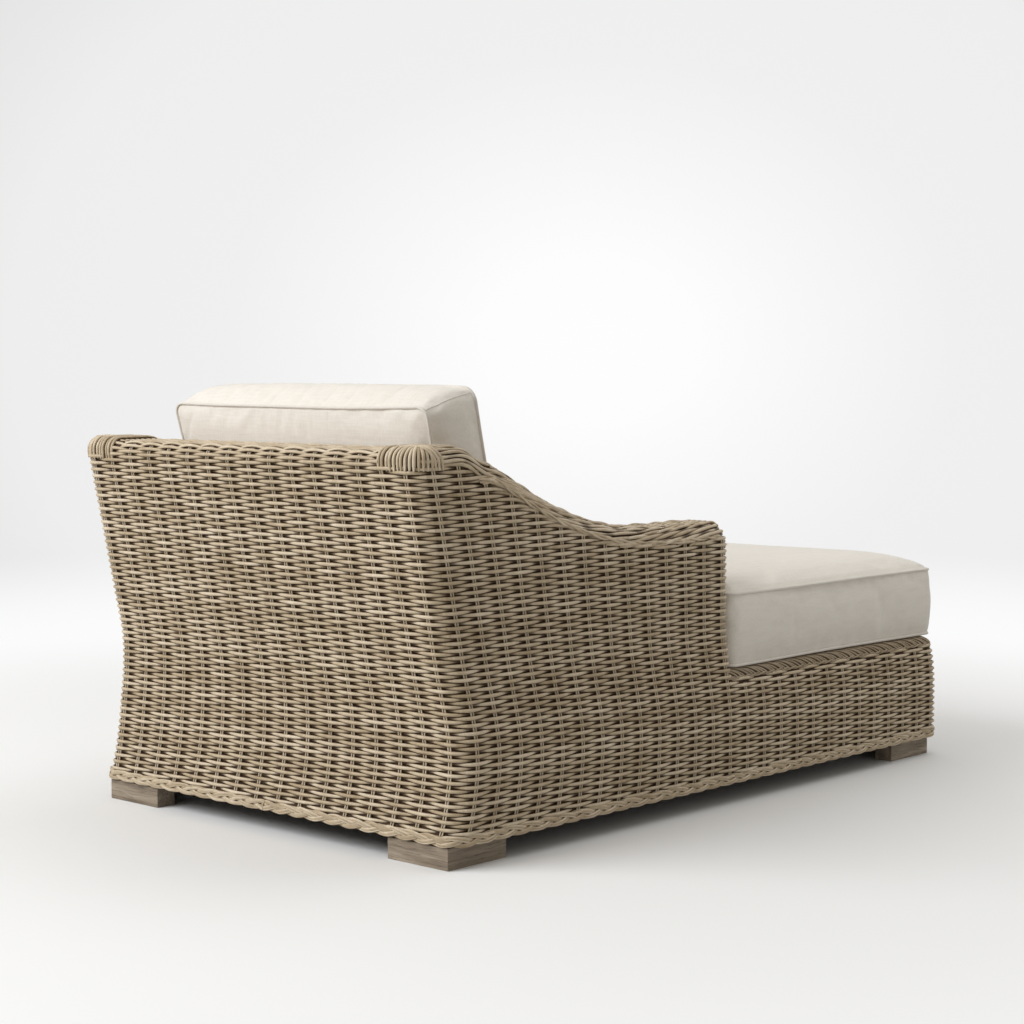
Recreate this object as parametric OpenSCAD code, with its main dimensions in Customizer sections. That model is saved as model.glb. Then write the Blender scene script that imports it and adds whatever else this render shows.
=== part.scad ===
// Woven outdoor chaise longue: a welded tube frame in a woven skin, wooden corner feet,
// a webbing deck, and two loose cushions. +Y is the back, -Y the foot end, and Z = 0 the floor.

/* [Overall] */
// Length from the braid at the foot end to the rear edge of the back
body_l = 1740; // [1500:1:2000]
// Width over the outer faces of the arms
body_w = 996; // [850:1:1200]
// Height of the top of the woven back
back_h = 768; // [720:1:850]
// Height of the woven border that the seat cushion rests on
border_h = 281; // [240:1:320]
// Height of the wooden feet
foot_h = 42; // [30:1:60]

/* [Skin] */
// Thickness of the woven skin
skin_t = 9; // [6:0.5:12]
// Radius of the upright corners of the base and the back
corner_r = 40; // [38:1:55]
// How far the base flares out beyond each arm
flare_out = 25; // [10:1:35]
// Height where the flare is full
flare_low = 170; // [120:1:200]
// Height where the flare ends
flare_high = 380; // [320:1:420]
// How far the skin tucks back in at its bottom edge
tuck_in = 3.5; // [0:0.5:6]
// Height where the tuck starts
tuck_h = 100; // [80:1:120]
// Height of the plaited braid round the bottom edge
braid_h = 24; // [16:1:32]
// How far the braid stands out from the skin
braid_out = 3; // [1:0.5:5]

/* [Back] */
// Height of the waist, where the rear face is furthest forward
waist_h = 230; // [200:1:260]
// Radius of the rear face below the waist
rear_low_r = 575; // [450:5:800]
// Radius of the rear face above the waist
rear_high_r = 700; // [500:5:900]
// Lean of the upper rear face from upright, in degrees
rear_rake = 12.1; // [8:0.1:14]
// Lean of the inner face of the back, and of the back cushion, in degrees
lean = 14.5; // [10:0.1:16]
// Thickness of the back at its top
back_t = 150; // [130:1:180]
// Radius of the rolled edges of the back
back_roll = 27; // [22:1:32]
// How far the wrapped corner caps stand above the back
cap_rise = 7; // [3:1:12]

/* [Arms] */
// Distance from the foot end to the front of the arms
footrest_l = 798; // [650:1:900]
// Thickness of the arms
arm_t = 120; // [110:1:150]
// Height of the arms at the front
arm_h = 596; // [560:1:620]
// Drop from the top of the back to the arms where they meet
shoulder_drop = 27; // [22:1:50]
// Distance from the top of the back to the end of the swoop
shoulder_gap = 46; // [30:1:80]
// Steepest slope of the swoop, in degrees
swoop = 26.3; // [20:0.1:30]
// Radius at the foot of the swoop
swoop_low_r = 855; // [500:5:900]
// Radius at the head of the swoop
swoop_high_r = 60; // [55:1:160]
// Radius of the rolled edges of the arms
arm_roll = 35; // [28:1:42]
// Radius of the front of the arm top
nose_r = 50; // [44:1:60]

/* [Frame] */
// Side of the square frame tubes
tube_d = 25; // [19:1:26]
// Wall of the frame tubes
tube_wall = 2; // [1.2:0.1:3]
// Width of the flat bottom rails
base_rail_w = 40; // [34:1:42]
// Distance from the outer faces to the middle of the tubes
tube_inset = 32; // [32:1:34]
// Distance from the outer face to the bottom rails
rail_inset = 15; // [14:1:18]
// Number of bars across the seat
cross_bars = 3; // [2:1:4]
// Width of the webbing straps
strap_w = 50; // [40:1:60]
// Thickness of the webbing straps
strap_t = 1.5; // [1:0.1:2]
// Spacing of the webbing straps
strap_pitch = 86; // [75:1:110]
// Thickness of the strands wrapped over the seat border
wrap_t = 6; // [4:0.5:8]

/* [Feet] */
// Length of each leg of the L shaped feet
foot_l = 157; // [120:1:180]
// Thickness of the legs of the feet
foot_t = 45; // [38:1:55]
// Distance from the foot end to the front feet
foot_inset_front = 22; // [18:1:30]
// Distance from the rear skin to the back feet
foot_inset_back = 10; // [0:1:30]
// Distance from the widest part of the base to the sides of the feet
foot_inset_side = 23; // [15:1:35]
// Diameter of the screws that hold the feet
screw_d = 8; // [6:0.5:10]
// Diameter of the screw heads
screw_head_d = 14; // [12:0.5:18]
// Height of the screw heads
screw_head_h = 5; // [4:0.5:7]

/* [Cushions] */
// Distance from the outer faces of the arms to the sides of the seat cushion in front of them
seat_inset = 14; // [10:1:40]
// Height of the seam at the top of the seat cushion
seat_seam_h = 441; // [400:1:460]
// Rise of the seat cushion's crown above its top seam
seat_crown = 37; // [25:1:45]
// Gap between the piping of the seat cushion and the arms
seat_gap = 2; // [1:0.5:8]
// Corner radius of the seat cushion
seat_corner_r = 34; // [20:1:50]
// Gap between the back cushion and each arm
back_cushion_gap = 9; // [7:1:30]
// Thickness of the back cushion between its seams
back_cushion_t = 134; // [120:1:180]
// Height of the rear top seam of the back cushion
back_cushion_h = 838; // [800:1:860]
// Crown of the faces of the back cushion beyond its seams
back_crown = 24; // [10:1:28]
// Corner radius of the back cushion
back_corner_r = 24; // [16:1:60]
// Diameter of the piping cord
piping_d = 9; // [6:0.5:10]
// How far the sides of the cushions draw in between their corners
draw_in = 4; // [0:0.5:8]
// Clearance under and between loose pieces
loose_gap = 0.4; // [0.3:0.1:1]

/* [Hidden] */

$fn = 32;
cane = "#a8977c";
cane_dark = "#8d7c63";
metal = "#6b6257";
strap_colour = "#4a4239";
timber = "#8d7d6f";
linen = "#e1dad0";
steel = "#b9bcbf";
tiny = 0.01;

foot_y = braid_out - body_l / 2;
arm_front = foot_y + footrest_l;
shoulder_h = back_h - shoulder_drop;
arm_in = body_w / 2 - arm_t;
seat_w = body_w - 2 * seat_inset;
back_cushion_w = 2 * (arm_in - back_cushion_gap);
tube_r = tube_d / 2;
skin_clear = 0.3;
border_seat = tube_inset + tube_r / 2;
rail_z = border_h - wrap_t - tube_d;
rail_top = rail_z + tube_d;
post_x = body_w / 2 - tube_inset;
inner_x = arm_in + tube_inset;
base_top = foot_h + tube_d;

// Round an arc in n steps, and points the other way round
function arc(c, r, a, b, n) = [for (i = [0:n]) c + r * [cos(a + (b - a) * i / n),
    sin(a + (b - a) * i / n)]];
function flip(p) = [for (i = [len(p) - 1:-1:0]) p[i]];
function ease(t) = let (u = min(1, max(0, t))) u * u * (3 - 2 * u);
function spread(a, b, n) = [for (i = [0:n]) a + (b - a) * i / n];

// Outer half width of the skin at a height
function side_x(z) = body_w / 2 + flare_out * (1 - ease((z - flare_low) / (flare_high - flare_low)))
    - tuck_in * pow(max(0, (tuck_h - z) / (tuck_h - foot_h)), 2);

// Rear face: an arc either side of the waist, then a straight rake up to the rolled edge
roll_c = [body_l / 2 - back_roll, back_h - back_roll];
roll_start = roll_c + back_roll * [cos(rear_rake), -sin(rear_rake)];
rake_h = waist_h + rear_high_r * sin(rear_rake);
function rear_rise(z) =
    z < waist_h ? rear_low_r - sqrt(pow(rear_low_r, 2) - pow(waist_h - z, 2))
    : z < rake_h ? rear_high_r - sqrt(pow(rear_high_r, 2) - pow(z - waist_h, 2))
    : rear_high_r * (1 - cos(rear_rake)) + (z - rake_h) * tan(rear_rake);
function rear_y(z) = roll_start.x - rear_rise(roll_start.y) + rear_rise(z);

// Inner face of the back, which leans as the back cushion does
inner_roll_c = [body_l / 2 - back_t + back_roll, back_h - back_roll];
inner_start = inner_roll_c + back_roll * [-cos(lean), sin(lean)];
function inner_y(z) = inner_start.x - (inner_start.y - z) * tan(lean);

// Heights at which the curved skins are drawn
cap_z = roll_start.y;
low_levels = concat([foot_h], spread(foot_h + braid_h, rail_z, 7));
high_levels = concat(spread(rail_z, flare_high, 6), spread(flare_high + 40, cap_z, 6));
levels = concat(low_levels, [for (i = [1:len(high_levels) - 1]) high_levels[i]]);

// Crest of the arm, seen from the side, lowered by d: nose, level top, swoop and shoulder
shoulder_y = body_l / 2 - back_t - shoulder_gap;
swoop_run = (shoulder_h - arm_h - (swoop_low_r + swoop_high_r) * (1 - cos(swoop))) / sin(swoop);
swoop_y = shoulder_y - (swoop_low_r + swoop_high_r) * sin(swoop) - swoop_run * cos(swoop);
nose_c = [arm_front + nose_r, arm_h - nose_r];
low_c = [swoop_y, arm_h + swoop_low_r];
high_c = [shoulder_y, shoulder_h - swoop_high_r];
cap_y = body_l / 2 - back_t;
function crest(d) = concat(
    arc(nose_c, nose_r - d, 180, 90, 8),
    arc(low_c, swoop_low_r + d, 270, 270 + swoop, 12),
    arc(high_c, swoop_high_r - d, 90 + swoop, 90, 8));

// Shapes drawn from the side or the front, and their mirror images
module along_x(w) { rotate([90, 0, 90]) linear_extrude(w, center = true) children(); }
module along_y(a, b) { translate([0, b, 0]) rotate([90, 0, 0]) linear_extrude(b - a) children(); }
module side(s) { if (s < 0) mirror([1, 0, 0]) children(); else children(); }

// A solid lofted through rings of points that run round in the same order. Its ends are closed
// by fans about a point, or as strips where each ring is a band that goes out and comes back
function ring_fan(at, n, c, up) = [for (i = [0:n - 1]) let (j = (i + 1) % n) up ? [at + i, c, at + j]
    : [at + i, at + j, c]];
function ring_strip(at, n, up) = [for (i = [0:n / 2 - 2]) let (a = at + i, b = at + i + 1,
    c = at + n - 2 - i, d = at + n - 1 - i)
    each up ? [[a, c, b], [a, d, c]] : [[a, b, c], [a, c, d]]];
module loft(rings, band = false, mid = undef) {
    n = len(rings[0]);
    last = len(rings) - 1;
    ends = [rings[0], rings[last]];
    centres = [for (ring = ends) mid == undef ? middle(ring) : [mid.x, mid.y, ring[0].z]];
    points = concat([for (ring = rings) for (p = ring) p], band ? [] : centres);
    walls = [for (k = [0:last - 1], i = [0:n - 1]) let (j = (i + 1) % n)
        each [[k * n + i, k * n + n + j, k * n + j], [k * n + i, k * n + n + i, k * n + n + j]]];
    top = (last + 1) * n;
    polyhedron(points, concat(walls, band ? ring_strip(0, n, false) : ring_fan(0, n, top, false),
        band ? ring_strip(last * n, n, true) : ring_fan(last * n, n, top + 1, true)));
}
function total(p, i = 0) = i == len(p) - 1 ? p[i] : p[i] + total(p, i + 1);
function middle(p) = total(p) / len(p);

// A round cord along a closed ring of points, with the two directions across it at each point
module cord_ring(path, out, up, r, sides = 6) {
    n = len(path);
    points = [for (i = [0:n - 1]) for (k = [0:sides - 1])
        path[i] + r * (cos(360 * k / sides) * out[i] + sin(360 * k / sides) * up)];
    polyhedron(points, [for (i = [0:n - 1], k = [0:sides - 1])
        let (a = i * sides, b = ((i + 1) % n) * sides, m = (k + 1) % sides)
        each [[a + k, a + m, b + m], [a + k, b + m, b + k]]]);
}

// Frame tubes: the section of a straight rail, and a tube bent in the side view between two lines,
// which are lists of the points of one edge of the tube at a distance from the skin
near = tube_inset - tube_r;
far = tube_inset + tube_r;
module rail_section(w) {
    translate([-w / 2, 0]) difference() {
        square([w, tube_d]);
        translate([tube_wall, tube_wall]) square([w - 2 * tube_wall, tube_d - 2 * tube_wall]);
    }
}
module bent_tube(outer, inner, bore_outer, bore_inner) {
    difference() {
        along_x(tube_d) polygon(concat(outer, flip(inner)));
        along_x(tube_d - 2 * tube_wall) polygon(concat(bore_outer, flip(bore_inner)));
    }
}
module tube_across(w) { rotate([0, 0, 90]) along_y(-w / 2, w / 2) rail_section(tube_d); }

// Wooden feet: two legs joined at a mitre, screwed up into the bottom rails
foot_front = foot_y + foot_inset_front;
foot_back = rear_y(foot_h) - foot_inset_back;
feet_half = body_w / 2 + flare_out - foot_inset_side;
screw_x = feet_half - foot_t / 2;
screw_reach = foot_l - foot_t / 2;
screw_clear = 0.4;
screw_tip = foot_h + tube_d / 2;
head_depth = screw_head_h + 4;
function screw_spots() = [for (s = [-1, 1], e = [foot_front, foot_back])
    let (t = e == foot_front ? 1 : -1)
    each [[s * screw_x, e + t * screw_reach], [s * (feet_half - screw_reach), e + t * foot_t / 2]]];
module screw_holes(d) {
    for (p = screw_spots()) translate([p.x, p.y, -1]) cylinder(d = d, h = base_top);
}
module leg() {
    linear_extrude(foot_h) polygon([[0, 0], [foot_l, 0], [foot_l, foot_t], [foot_t, foot_t]]);
}
module foot(sx, back) {
    color(timber) difference() {
        translate([sx * feet_half, back ? foot_back : foot_front, 0])
            mirror([sx > 0 ? 1 : 0, 0, 0]) mirror([0, back ? 1 : 0, 0]) union() {
                leg();
                mirror([1, -1, 0]) leg();
            }
        screw_holes(screw_d + 2 * screw_clear);
        for (p = screw_spots()) translate([p.x, p.y, -1]) cylinder(d = screw_head_d + 2,
            h = head_depth + 1);
    }
}
module foot_screws() {
    color(steel) for (p = screw_spots()) translate([p.x, p.y, head_depth - screw_head_h]) {
        cylinder(d = screw_head_d, h = screw_head_h - screw_clear / 2);
        cylinder(d = screw_d, h = screw_tip - head_depth + screw_head_h);
    }
}

// Bottom rails: flat tubes on the feet, the end ones between the side ones
rail_mid = side_x(foot_h) - rail_inset - base_rail_w / 2;
rail_end_back = rear_y(base_top) - rail_inset;
rail_end_foot = foot_y + rail_inset;
chamfer = 9;
module base_rail_side(s) {
    color(metal) side(s) difference() {
        translate([rail_mid, 0, foot_h]) along_y(rail_end_foot, rail_end_back) rail_section(base_rail_w);
        screw_holes(screw_d + 2 * screw_clear);
        for (e = [rail_end_foot, rail_end_back]) translate([rail_mid + base_rail_w / 2, e,
            base_top - tube_r])
            rotate([0, 0, 45]) cube([chamfer * sqrt(2), chamfer * sqrt(2), 2 * tube_d], center = true);
    }
}
module base_rail_end(y) {
    color(metal) difference() {
        translate([0, y, foot_h]) rotate([0, 0, 90]) along_y(-rail_mid + base_rail_w / 2,
            rail_mid - base_rail_w / 2)
            rail_section(base_rail_w);
        screw_holes(screw_d + 2 * screw_clear);
    }
}

// Seat frame: square tubes round the deck, butted to the posts
border_x = side_x(rail_z);
seat_rail_x = border_x - tube_inset;
foot_rail_y = foot_y + tube_inset;
arm_post_y = arm_front + tube_inset;
deck_back_y = inner_y(rail_z) + tube_inset;
module seat_rail_side(s) {
    color(metal) side(s) translate([0, 0, rail_z]) {
        translate([seat_rail_x, 0, 0]) along_y(bend_end, arm_post_y - tube_r) rail_section(tube_d);
        translate([post_x, 0, 0]) along_y(arm_post_y + tube_r, rear_y(waist_h) - far) rail_section(tube_d);
    }
}
module seat_bar(y, w) { translate([0, y, rail_z]) tube_across(2 * w); }
bend_r = tube_d * 0.8;
bend_end = foot_rail_y + 2 * bend_r;
function rail_line(d, y) = concat([[-seat_rail_x - d, y]],
    arc([bend_r - seat_rail_x, foot_rail_y + bend_r], bend_r + d, 180, 270, 8),
    arc([seat_rail_x - bend_r, foot_rail_y + bend_r], bend_r + d, 270, 360, 8), [[seat_rail_x + d, y]]);
module rail_bends(h, d, y) {
    translate([0, 0, rail_z + tube_r]) linear_extrude(h, center = true) polygon(concat(rail_line(d, y),
        flip(rail_line(-d, y))));
}
module seat_rail_foot() {
    color(metal) difference() {
        rail_bends(tube_d, tube_r, bend_end);
        rail_bends(tube_d - 2 * tube_wall, tube_r - tube_wall, bend_end + 1);
    }
}
module seat_rail_back() { color(metal) seat_bar(deck_back_y, post_x - tube_r); }
bar_step = (deck_back_y - arm_post_y) / cross_bars;
module seat_cross_bars() {
    color(metal) {
        seat_bar((foot_rail_y + arm_post_y) / 2, seat_rail_x - tube_r);
        for (i = [0:cross_bars - 1]) seat_bar(arm_post_y + i * bar_step, post_x - tube_r);
    }
}
module foot_post(s) {
    color(metal) side(s) translate([seat_rail_x, foot_rail_y, base_top]) linear_extrude(rail_z - base_top)
        difference() {
            square(tube_d, center = true);
            square(tube_d - 2 * tube_wall, center = true);
        }
}

// Back frame: bent rear posts, leaning front braces, and rails across
rail_h = back_h - tube_inset;
frame_top = rail_h + tube_r;
post_levels = spread(base_top, frame_top, 24);
function rear_line(d, zs) = [for (z = zs) [rear_y(z) - d, z]];
function inner_line(d, a, b) = [[inner_y(a) + d, a], [inner_y(b) + d, b]];
module back_post(s) {
    color(metal) side(s) translate([post_x, 0, 0]) bent_tube(rear_line(near, post_levels),
        rear_line(far, post_levels),
        rear_line(near + tube_wall, spread(base_top - 1, frame_top + 1, 24)),
        rear_line(far - tube_wall, spread(base_top - 1, frame_top + 1, 24)));
}
brace_top = rail_h - tube_r;
module back_brace(s) {
    color(metal) side(s) translate([inner_x, 0, 0]) bent_tube(
        inner_line(far, rail_top, brace_top), inner_line(near, rail_top, brace_top),
        inner_line(far - tube_wall, rail_top - 1, brace_top + 1), inner_line(near + tube_wall,
            rail_top - 1, brace_top + 1));
}
module back_rail(y, z, w) { color(metal) translate([0, y, z - tube_r]) tube_across(w); }
middle_h = (waist_h + rail_h) / 2;
module back_top_rail() { back_rail(rear_y(rail_h) - tube_inset, rail_h, 2 * post_x - tube_d); }
module back_middle_rail() { back_rail(rear_y(middle_h) - tube_inset, middle_h, 2 * post_x - tube_d); }
module back_front_rail() { back_rail(inner_y(rail_h) + tube_inset, rail_h, 2 * post_x - tube_d); }

// Arm frame: one bent tube along each edge of the arm, tied across
function arm_line(d, z0, y1) = concat([[arm_front + d, z0]], crest(d), [[y1, shoulder_h - d]]);
function rear_end(d) = rear_y(shoulder_h - d) - far;
function inner_end(d) = inner_y(shoulder_h - d) + near;
module arm_tube(x, z0, over, under) {
    wall = tube_wall;
    color(metal) translate([x, 0, 0]) bent_tube(arm_line(near, z0, over), arm_line(far, z0, under),
        arm_line(near + wall, z0 - 1, over + 1), arm_line(far - wall, z0 - 1, under + 1));
}
module arm_outer_tube(s) { side(s) arm_tube(post_x, base_top, rear_end(near), rear_end(far)); }
module arm_inner_tube(s) { side(s) arm_tube(inner_x, rail_top, inner_end(near), inner_end(far)); }
tie_w = post_x - inner_x - tube_d;
module arm_ties(s) {
    color(metal) side(s) {
        for (y = [nose_c.x + tube_d, swoop_y - tube_d])
            translate([(post_x + inner_x) / 2, y, arm_h - far]) tube_across(tie_w);
        translate([post_x, 0, 0]) along_x(tube_d) polygon([
            [inner_y(rail_h) + near, brace_top], [rear_y(brace_top) - far, brace_top],
            [rear_y(frame_top) - far, frame_top], [inner_y(rail_h) + near, frame_top]]);
    }
}

// Webbing deck: each strap goes over one and under the next. The straps across lie in two
// fields, in front of the bar between the arms and behind it, and stop short of the border
lane = strap_t + skin_clear;
deck_top = rail_top + 2 * lane;
ramp = 8;
lift_half = strap_w / 2 + 3;
long_reach = inner_x - tube_r - skin_clear - strap_w / 2;
long_n = round(2 * long_reach / strap_pitch);
long_x = spread(-long_reach, long_reach, long_n);
deck_foot = foot_y + border_seat + skin_clear;
post_clear = tube_r + strap_w / 2 + 2 * skin_clear;
front_field = [deck_foot + lift_half + ramp + skin_clear, arm_post_y - post_clear];
rear_field = [arm_post_y + post_clear, deck_back_y - post_clear];
function field_y(f) = let (n = round((f[1] - f[0]) / strap_pitch)) spread(f[0], f[1], n);
front_straps = field_y(front_field);
rear_straps = field_y(rear_field);
straps_y = concat(front_straps, rear_straps);
function wave(spots, first, a, b) = concat([[a, 0]],
    [for (k = [0:len(spots) - 1]) if ((k + first) % 2 == 0)
        let (h = lift_half, p = spots[k]) each [[p - h - ramp, 0], [p - h, lane], [p + h, lane],
            [p + h + ramp, 0]]],
    [[b, 0]]);
module ribbon(line) { polygon(concat(line, flip([for (p = line) p + [0, strap_t]]))); }
module webbing_lengthwise() {
    color(strap_colour) for (i = [0:long_n]) translate([long_x[i], 0, rail_top])
        along_x(strap_w) ribbon(wave(straps_y, i, deck_foot, deck_back_y + tube_r));
}
module webbing_crosswise() {
    color(strap_colour) for (j = [0:len(straps_y) - 1]) {
        reach = j < len(front_straps) ? border_x - border_seat - skin_clear : post_x;
        translate([0, straps_y[j], rail_top]) rotate([0, 0, -90]) along_x(strap_w)
            ribbon(wave(long_x, j + 1, -reach, reach));
    }
}

// Woven skins. Level rings round two corners, and ribbons that follow the side faces
function wrap_line(x, y, r, a, b, c) = let (s = a < 90 ? 1 : -1)
    concat(arc([s * x, y], r, a, b, 6), arc([-s * x, y], r, b, c, 6));
function wrap_ring(x, y, a, b, c, z) = [for (p = concat(
    wrap_line(x, y, corner_r, a, b, c), flip(wrap_line(x, y, corner_r - skin_t, a, b, c)))) [p.x, p.y, z]];
function side_ribbon(zs) = concat([for (z = zs) [side_x(z), z]],
    flip([for (z = zs) [side_x(z) - skin_t, z]]));
module weave_back_outer() {
    color(cane) loft([for (z = levels) wrap_ring(side_x(z) - corner_r, rear_y(z) - corner_r, 0, 90,
        180, z)], band = true);
}
module weave_back_inner() {
    back = skin_t / cos(lean);
    color(cane_dark) along_x(2 * arm_in) polygon([[inner_y(deck_top), deck_top], inner_start,
        inner_start + skin_t * [cos(lean), -sin(lean)], [inner_y(deck_top) + back, deck_top]]);
}
module weave_back_top() {
    color(cane) along_x(2 * arm_in) polygon(concat(
        arc(roll_c, back_roll, -rear_rake, 90, 8), arc(inner_roll_c, back_roll, 90, 180 - lean, 8),
        arc(inner_roll_c, back_roll - skin_t, 180 - lean, 90, 8), arc(roll_c, back_roll - skin_t, 90,
            -rear_rake, 8)));
}
module cap_block(d) {
    top = back_h + cap_rise;
    intersection() {
        translate([arm_in + d, cap_y + d, cap_z - (d > 0 ? 1 : 0)])
            cube([arm_t - 2 * d, body_l / 2 - cap_y - 2 * d, top - cap_z + 2]);
        along_x(4 * body_w) polygon(concat([[rear_y(cap_z) - d, cap_z - 2]],
            arc(roll_c + [0, cap_rise], back_roll - d, -rear_rake, 90, 8),
            arc(inner_roll_c + [0, cap_rise], back_roll - d, 90, 180, 8), [[cap_y + d, cap_z - 2]]));
        along_y(0, body_l) polygon(concat([[body_w / 2 - d, cap_z - 2]],
            arc([body_w / 2 - back_roll, top - back_roll], back_roll - d, 0, 90, 8), [[arm_in,
                top - d], [arm_in, cap_z - 2]]));
        linear_extrude(2 * back_h) polygon(concat([[arm_in, cap_y]], [[body_w / 2, cap_y]],
            arc([body_w / 2 - corner_r, body_l / 2 - corner_r - 1], corner_r - d, 0, 90, 8), [[arm_in,
                body_l / 2 - d]]));
    }
}
module weave_cap(s) {
    front = inner_y(rail_h) + near - skin_clear;
    color(cane) side(s) difference() {
        cap_block(0);
        cap_block(skin_t);
        translate([0, front, 0]) cube([arm_in + 2 * skin_t, rear_y(rail_h) - near + skin_clear - front,
            frame_top + skin_clear]);
    }
}
module weave_arm_outer(s) {
    edge = [for (z = flip(levels)) [rear_y(z) - corner_r, z]];
    color(cane) side(s) intersection() {
        along_y(-body_l, body_l) polygon(side_ribbon(levels));
        along_x(4 * body_w) polygon(concat([[arm_front + arm_roll, foot_h]], crest(arm_roll),
            [[cap_y, shoulder_h - arm_roll], [cap_y, cap_z]], edge));
    }
}
module weave_arm_inner(s) {
    high = shoulder_h - arm_roll;
    color(cane_dark) side(s) translate([arm_in + skin_t / 2, 0, 0]) along_x(skin_t) polygon(concat(
        [[arm_front + arm_roll, deck_top]], crest(arm_roll), [[inner_y(high), high],
            [inner_y(deck_top), deck_top]]));
}

// Arm top: one rolled profile swept up over the nose, along the level top and up the swoop.
// Each point of the profile has a place across the arm and a depth below the crest
function roll_edge(r) = concat(arc([arm_in + arm_roll, -arm_roll], r, 180, 90, 5),
    arc([body_w / 2 - arm_roll, -arm_roll], r, 90, 0, 5));
roll_profile = concat(roll_edge(arm_roll), flip(roll_edge(arm_roll - skin_t)));
function roll_ring(i) = [for (p = roll_profile) let (c = concat(crest(-p.y), [[cap_y,
    shoulder_h + p.y]])[i]) [p.x, c.x, c.y]];
module weave_arm_top(s) {
    color(cane) side(s) loft([for (i = [0:len(crest(0))]) roll_ring(i)], band = true);
}
function front_ring(z) = let (w = side_x(z), y = arm_front + arm_roll) [for (p = concat(
    arc([arm_in + arm_roll, y], arm_roll, 180, 270, 5), arc([w - arm_roll, y], arm_roll, 270, 360, 5),
    arc([w - arm_roll, y], arm_roll - skin_t, 360, 270, 5),
    arc([arm_in + arm_roll, y], arm_roll - skin_t, 270, 180, 5))) [p.x, p.y, z]];
module weave_arm_front(s) {
    color(cane) side(s) difference() {
        loft([for (z = concat(spread(rail_z, flare_high, 6), [nose_c.y])) front_ring(z)], band = true);
        translate([0, arm_front - 1, rail_z - 1])
            cube([seat_rail_x + tube_r + skin_clear, arm_roll + 2, deck_top - rail_z + 1]);
    }
}

// Base skins and the wrapped border that the seat cushion rests on
module weave_base_side(s) {
    color(cane) side(s) along_y(foot_y + corner_r, arm_front + arm_roll) polygon(side_ribbon(low_levels));
}
module weave_base_foot() {
    y = foot_y + corner_r;
    color(cane) loft([for (z = low_levels) wrap_ring(side_x(z) - corner_r, y, 180, 270, 360, z)],
        band = true);
}
border_roll = border_h - rail_z;
border_outer = concat(arc([border_roll, 0], border_roll, 180, 90, 6), [[border_seat, border_roll]]);
border_inner = concat(arc([border_roll, 0], border_roll - wrap_t, 180, 135, 3),
    [for (x = spread(near - skin_clear, border_seat, 3)) [x, border_roll - wrap_t]]);
border_profile = concat(border_outer, flip(border_inner));
module seat_border_side(s) {
    color(cane) side(s) translate([border_x, arm_front, rail_z]) mirror([1, 0, 0])
        rotate([90, 0, 0]) linear_extrude(footrest_l - corner_r) polygon(border_profile);
}
function border_ring(s, a) = [for (p = border_profile) [
    s * (border_x - corner_r + (corner_r - p.x) * cos(a)),
    foot_y + corner_r - (corner_r - p.x) * sin(a), rail_z + p.y]];
module seat_border_foot() {
    color(cane) loft(concat([for (a = spread(0, 90, 6)) border_ring(1, a)],
        [for (a = spread(90, 0, 6)) border_ring(-1, a)]), band = true);
}

// Plaited braid round the bottom edge, as a bead outside the skin
function between(a, b, t) = a + t * (b - a);
function braid_ring(d, t) = let (top = foot_h + braid_h, r = corner_r + d, x = between(side_x(foot_h),
    side_x(top), t) + d,
    b = between(rear_y(foot_h), rear_y(top), t) + d, f = foot_y - d) [for (p = concat(
    arc([x - r, b - r], r, 0, 90, 6), arc([r - x, b - r], r, 90, 180, 6), arc([r - x, f + r], r, 180,
        270, 6),
    arc([x - r, f + r], r, 270, 360, 6))) [p.x, p.y, foot_h + t * braid_h]];
module bottom_braid() {
    braid_gap = 0.1;
    bead = [0.3, 0.85, 1, 0.85, 0.3];
    color(cane_dark) difference() {
        loft([for (i = [0:4]) braid_ring(braid_out * bead[i], i / 4)]);
        loft([braid_ring(braid_gap, -tiny), braid_ring(braid_gap, 1 + tiny)]);
    }
}

// Seat cushion: a T shape that fills the space between the arms and spreads in front of them
cord_out = piping_d / 2;
seat_back_y = inner_y(border_h) - seat_gap - cord_out;
seat_foot_y = foot_y + braid_out;
ear_y = arm_front - seat_gap - cord_out;
seat_in = arm_in - seat_gap - cord_out;
function bow(a, b, n, d) = [for (i = [1:n - 1]) let (t = i / n,
    v = b - a) a + t * v + d * 4 * t * (1 - t) * [v.y, -v.x] / norm(v)];
function seat_corner(c, d, a, out) = let (r = out ? max(8, seat_corner_r - d) : 14 + d)
    [for (p = arc([0, 0], r, a, a + (out ? 90 : -90), 4)) p + c];
function seat_outline(d) = let (
    w = seat_w / 2 - d, v = seat_in - d, f = seat_foot_y + d, e = ear_y - d, b = seat_back_y - d,
    r = max(8, seat_corner_r - d), q = 14 + d, k = draw_in)
    concat(
        seat_corner([w - r, f + r], d, 270, true), bow([w, f + r], [w, e - r], 4, -k),
        seat_corner([w - r, e - r], d, 0, true), seat_corner([v + q, e + q], d, 270, false),
        bow([v, e + q], [v, b - r], 3, -k), seat_corner([v - r, b - r], d, 0, true),
        bow([v - r, b], [r - v, b], 3, -k), seat_corner([r - v, b - r], d, 90, true),
        bow([-v, b - r], [-v, e + q], 3, -k), seat_corner([-v - q, e + q], d, 0, false),
        seat_corner([r - w, e - r], d, 90, true), bow([-w, e - r], [-w, f + r], 4, -k),
        seat_corner([r - w, f + r], d, 180, true), bow([r - w, f], [w - r, f], 4, -k));
seat_bottom = border_h + loose_gap;
seam_low = seat_bottom + piping_d;
notch = cord_out + 1.6;
cord_side = notch / 2;
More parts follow.
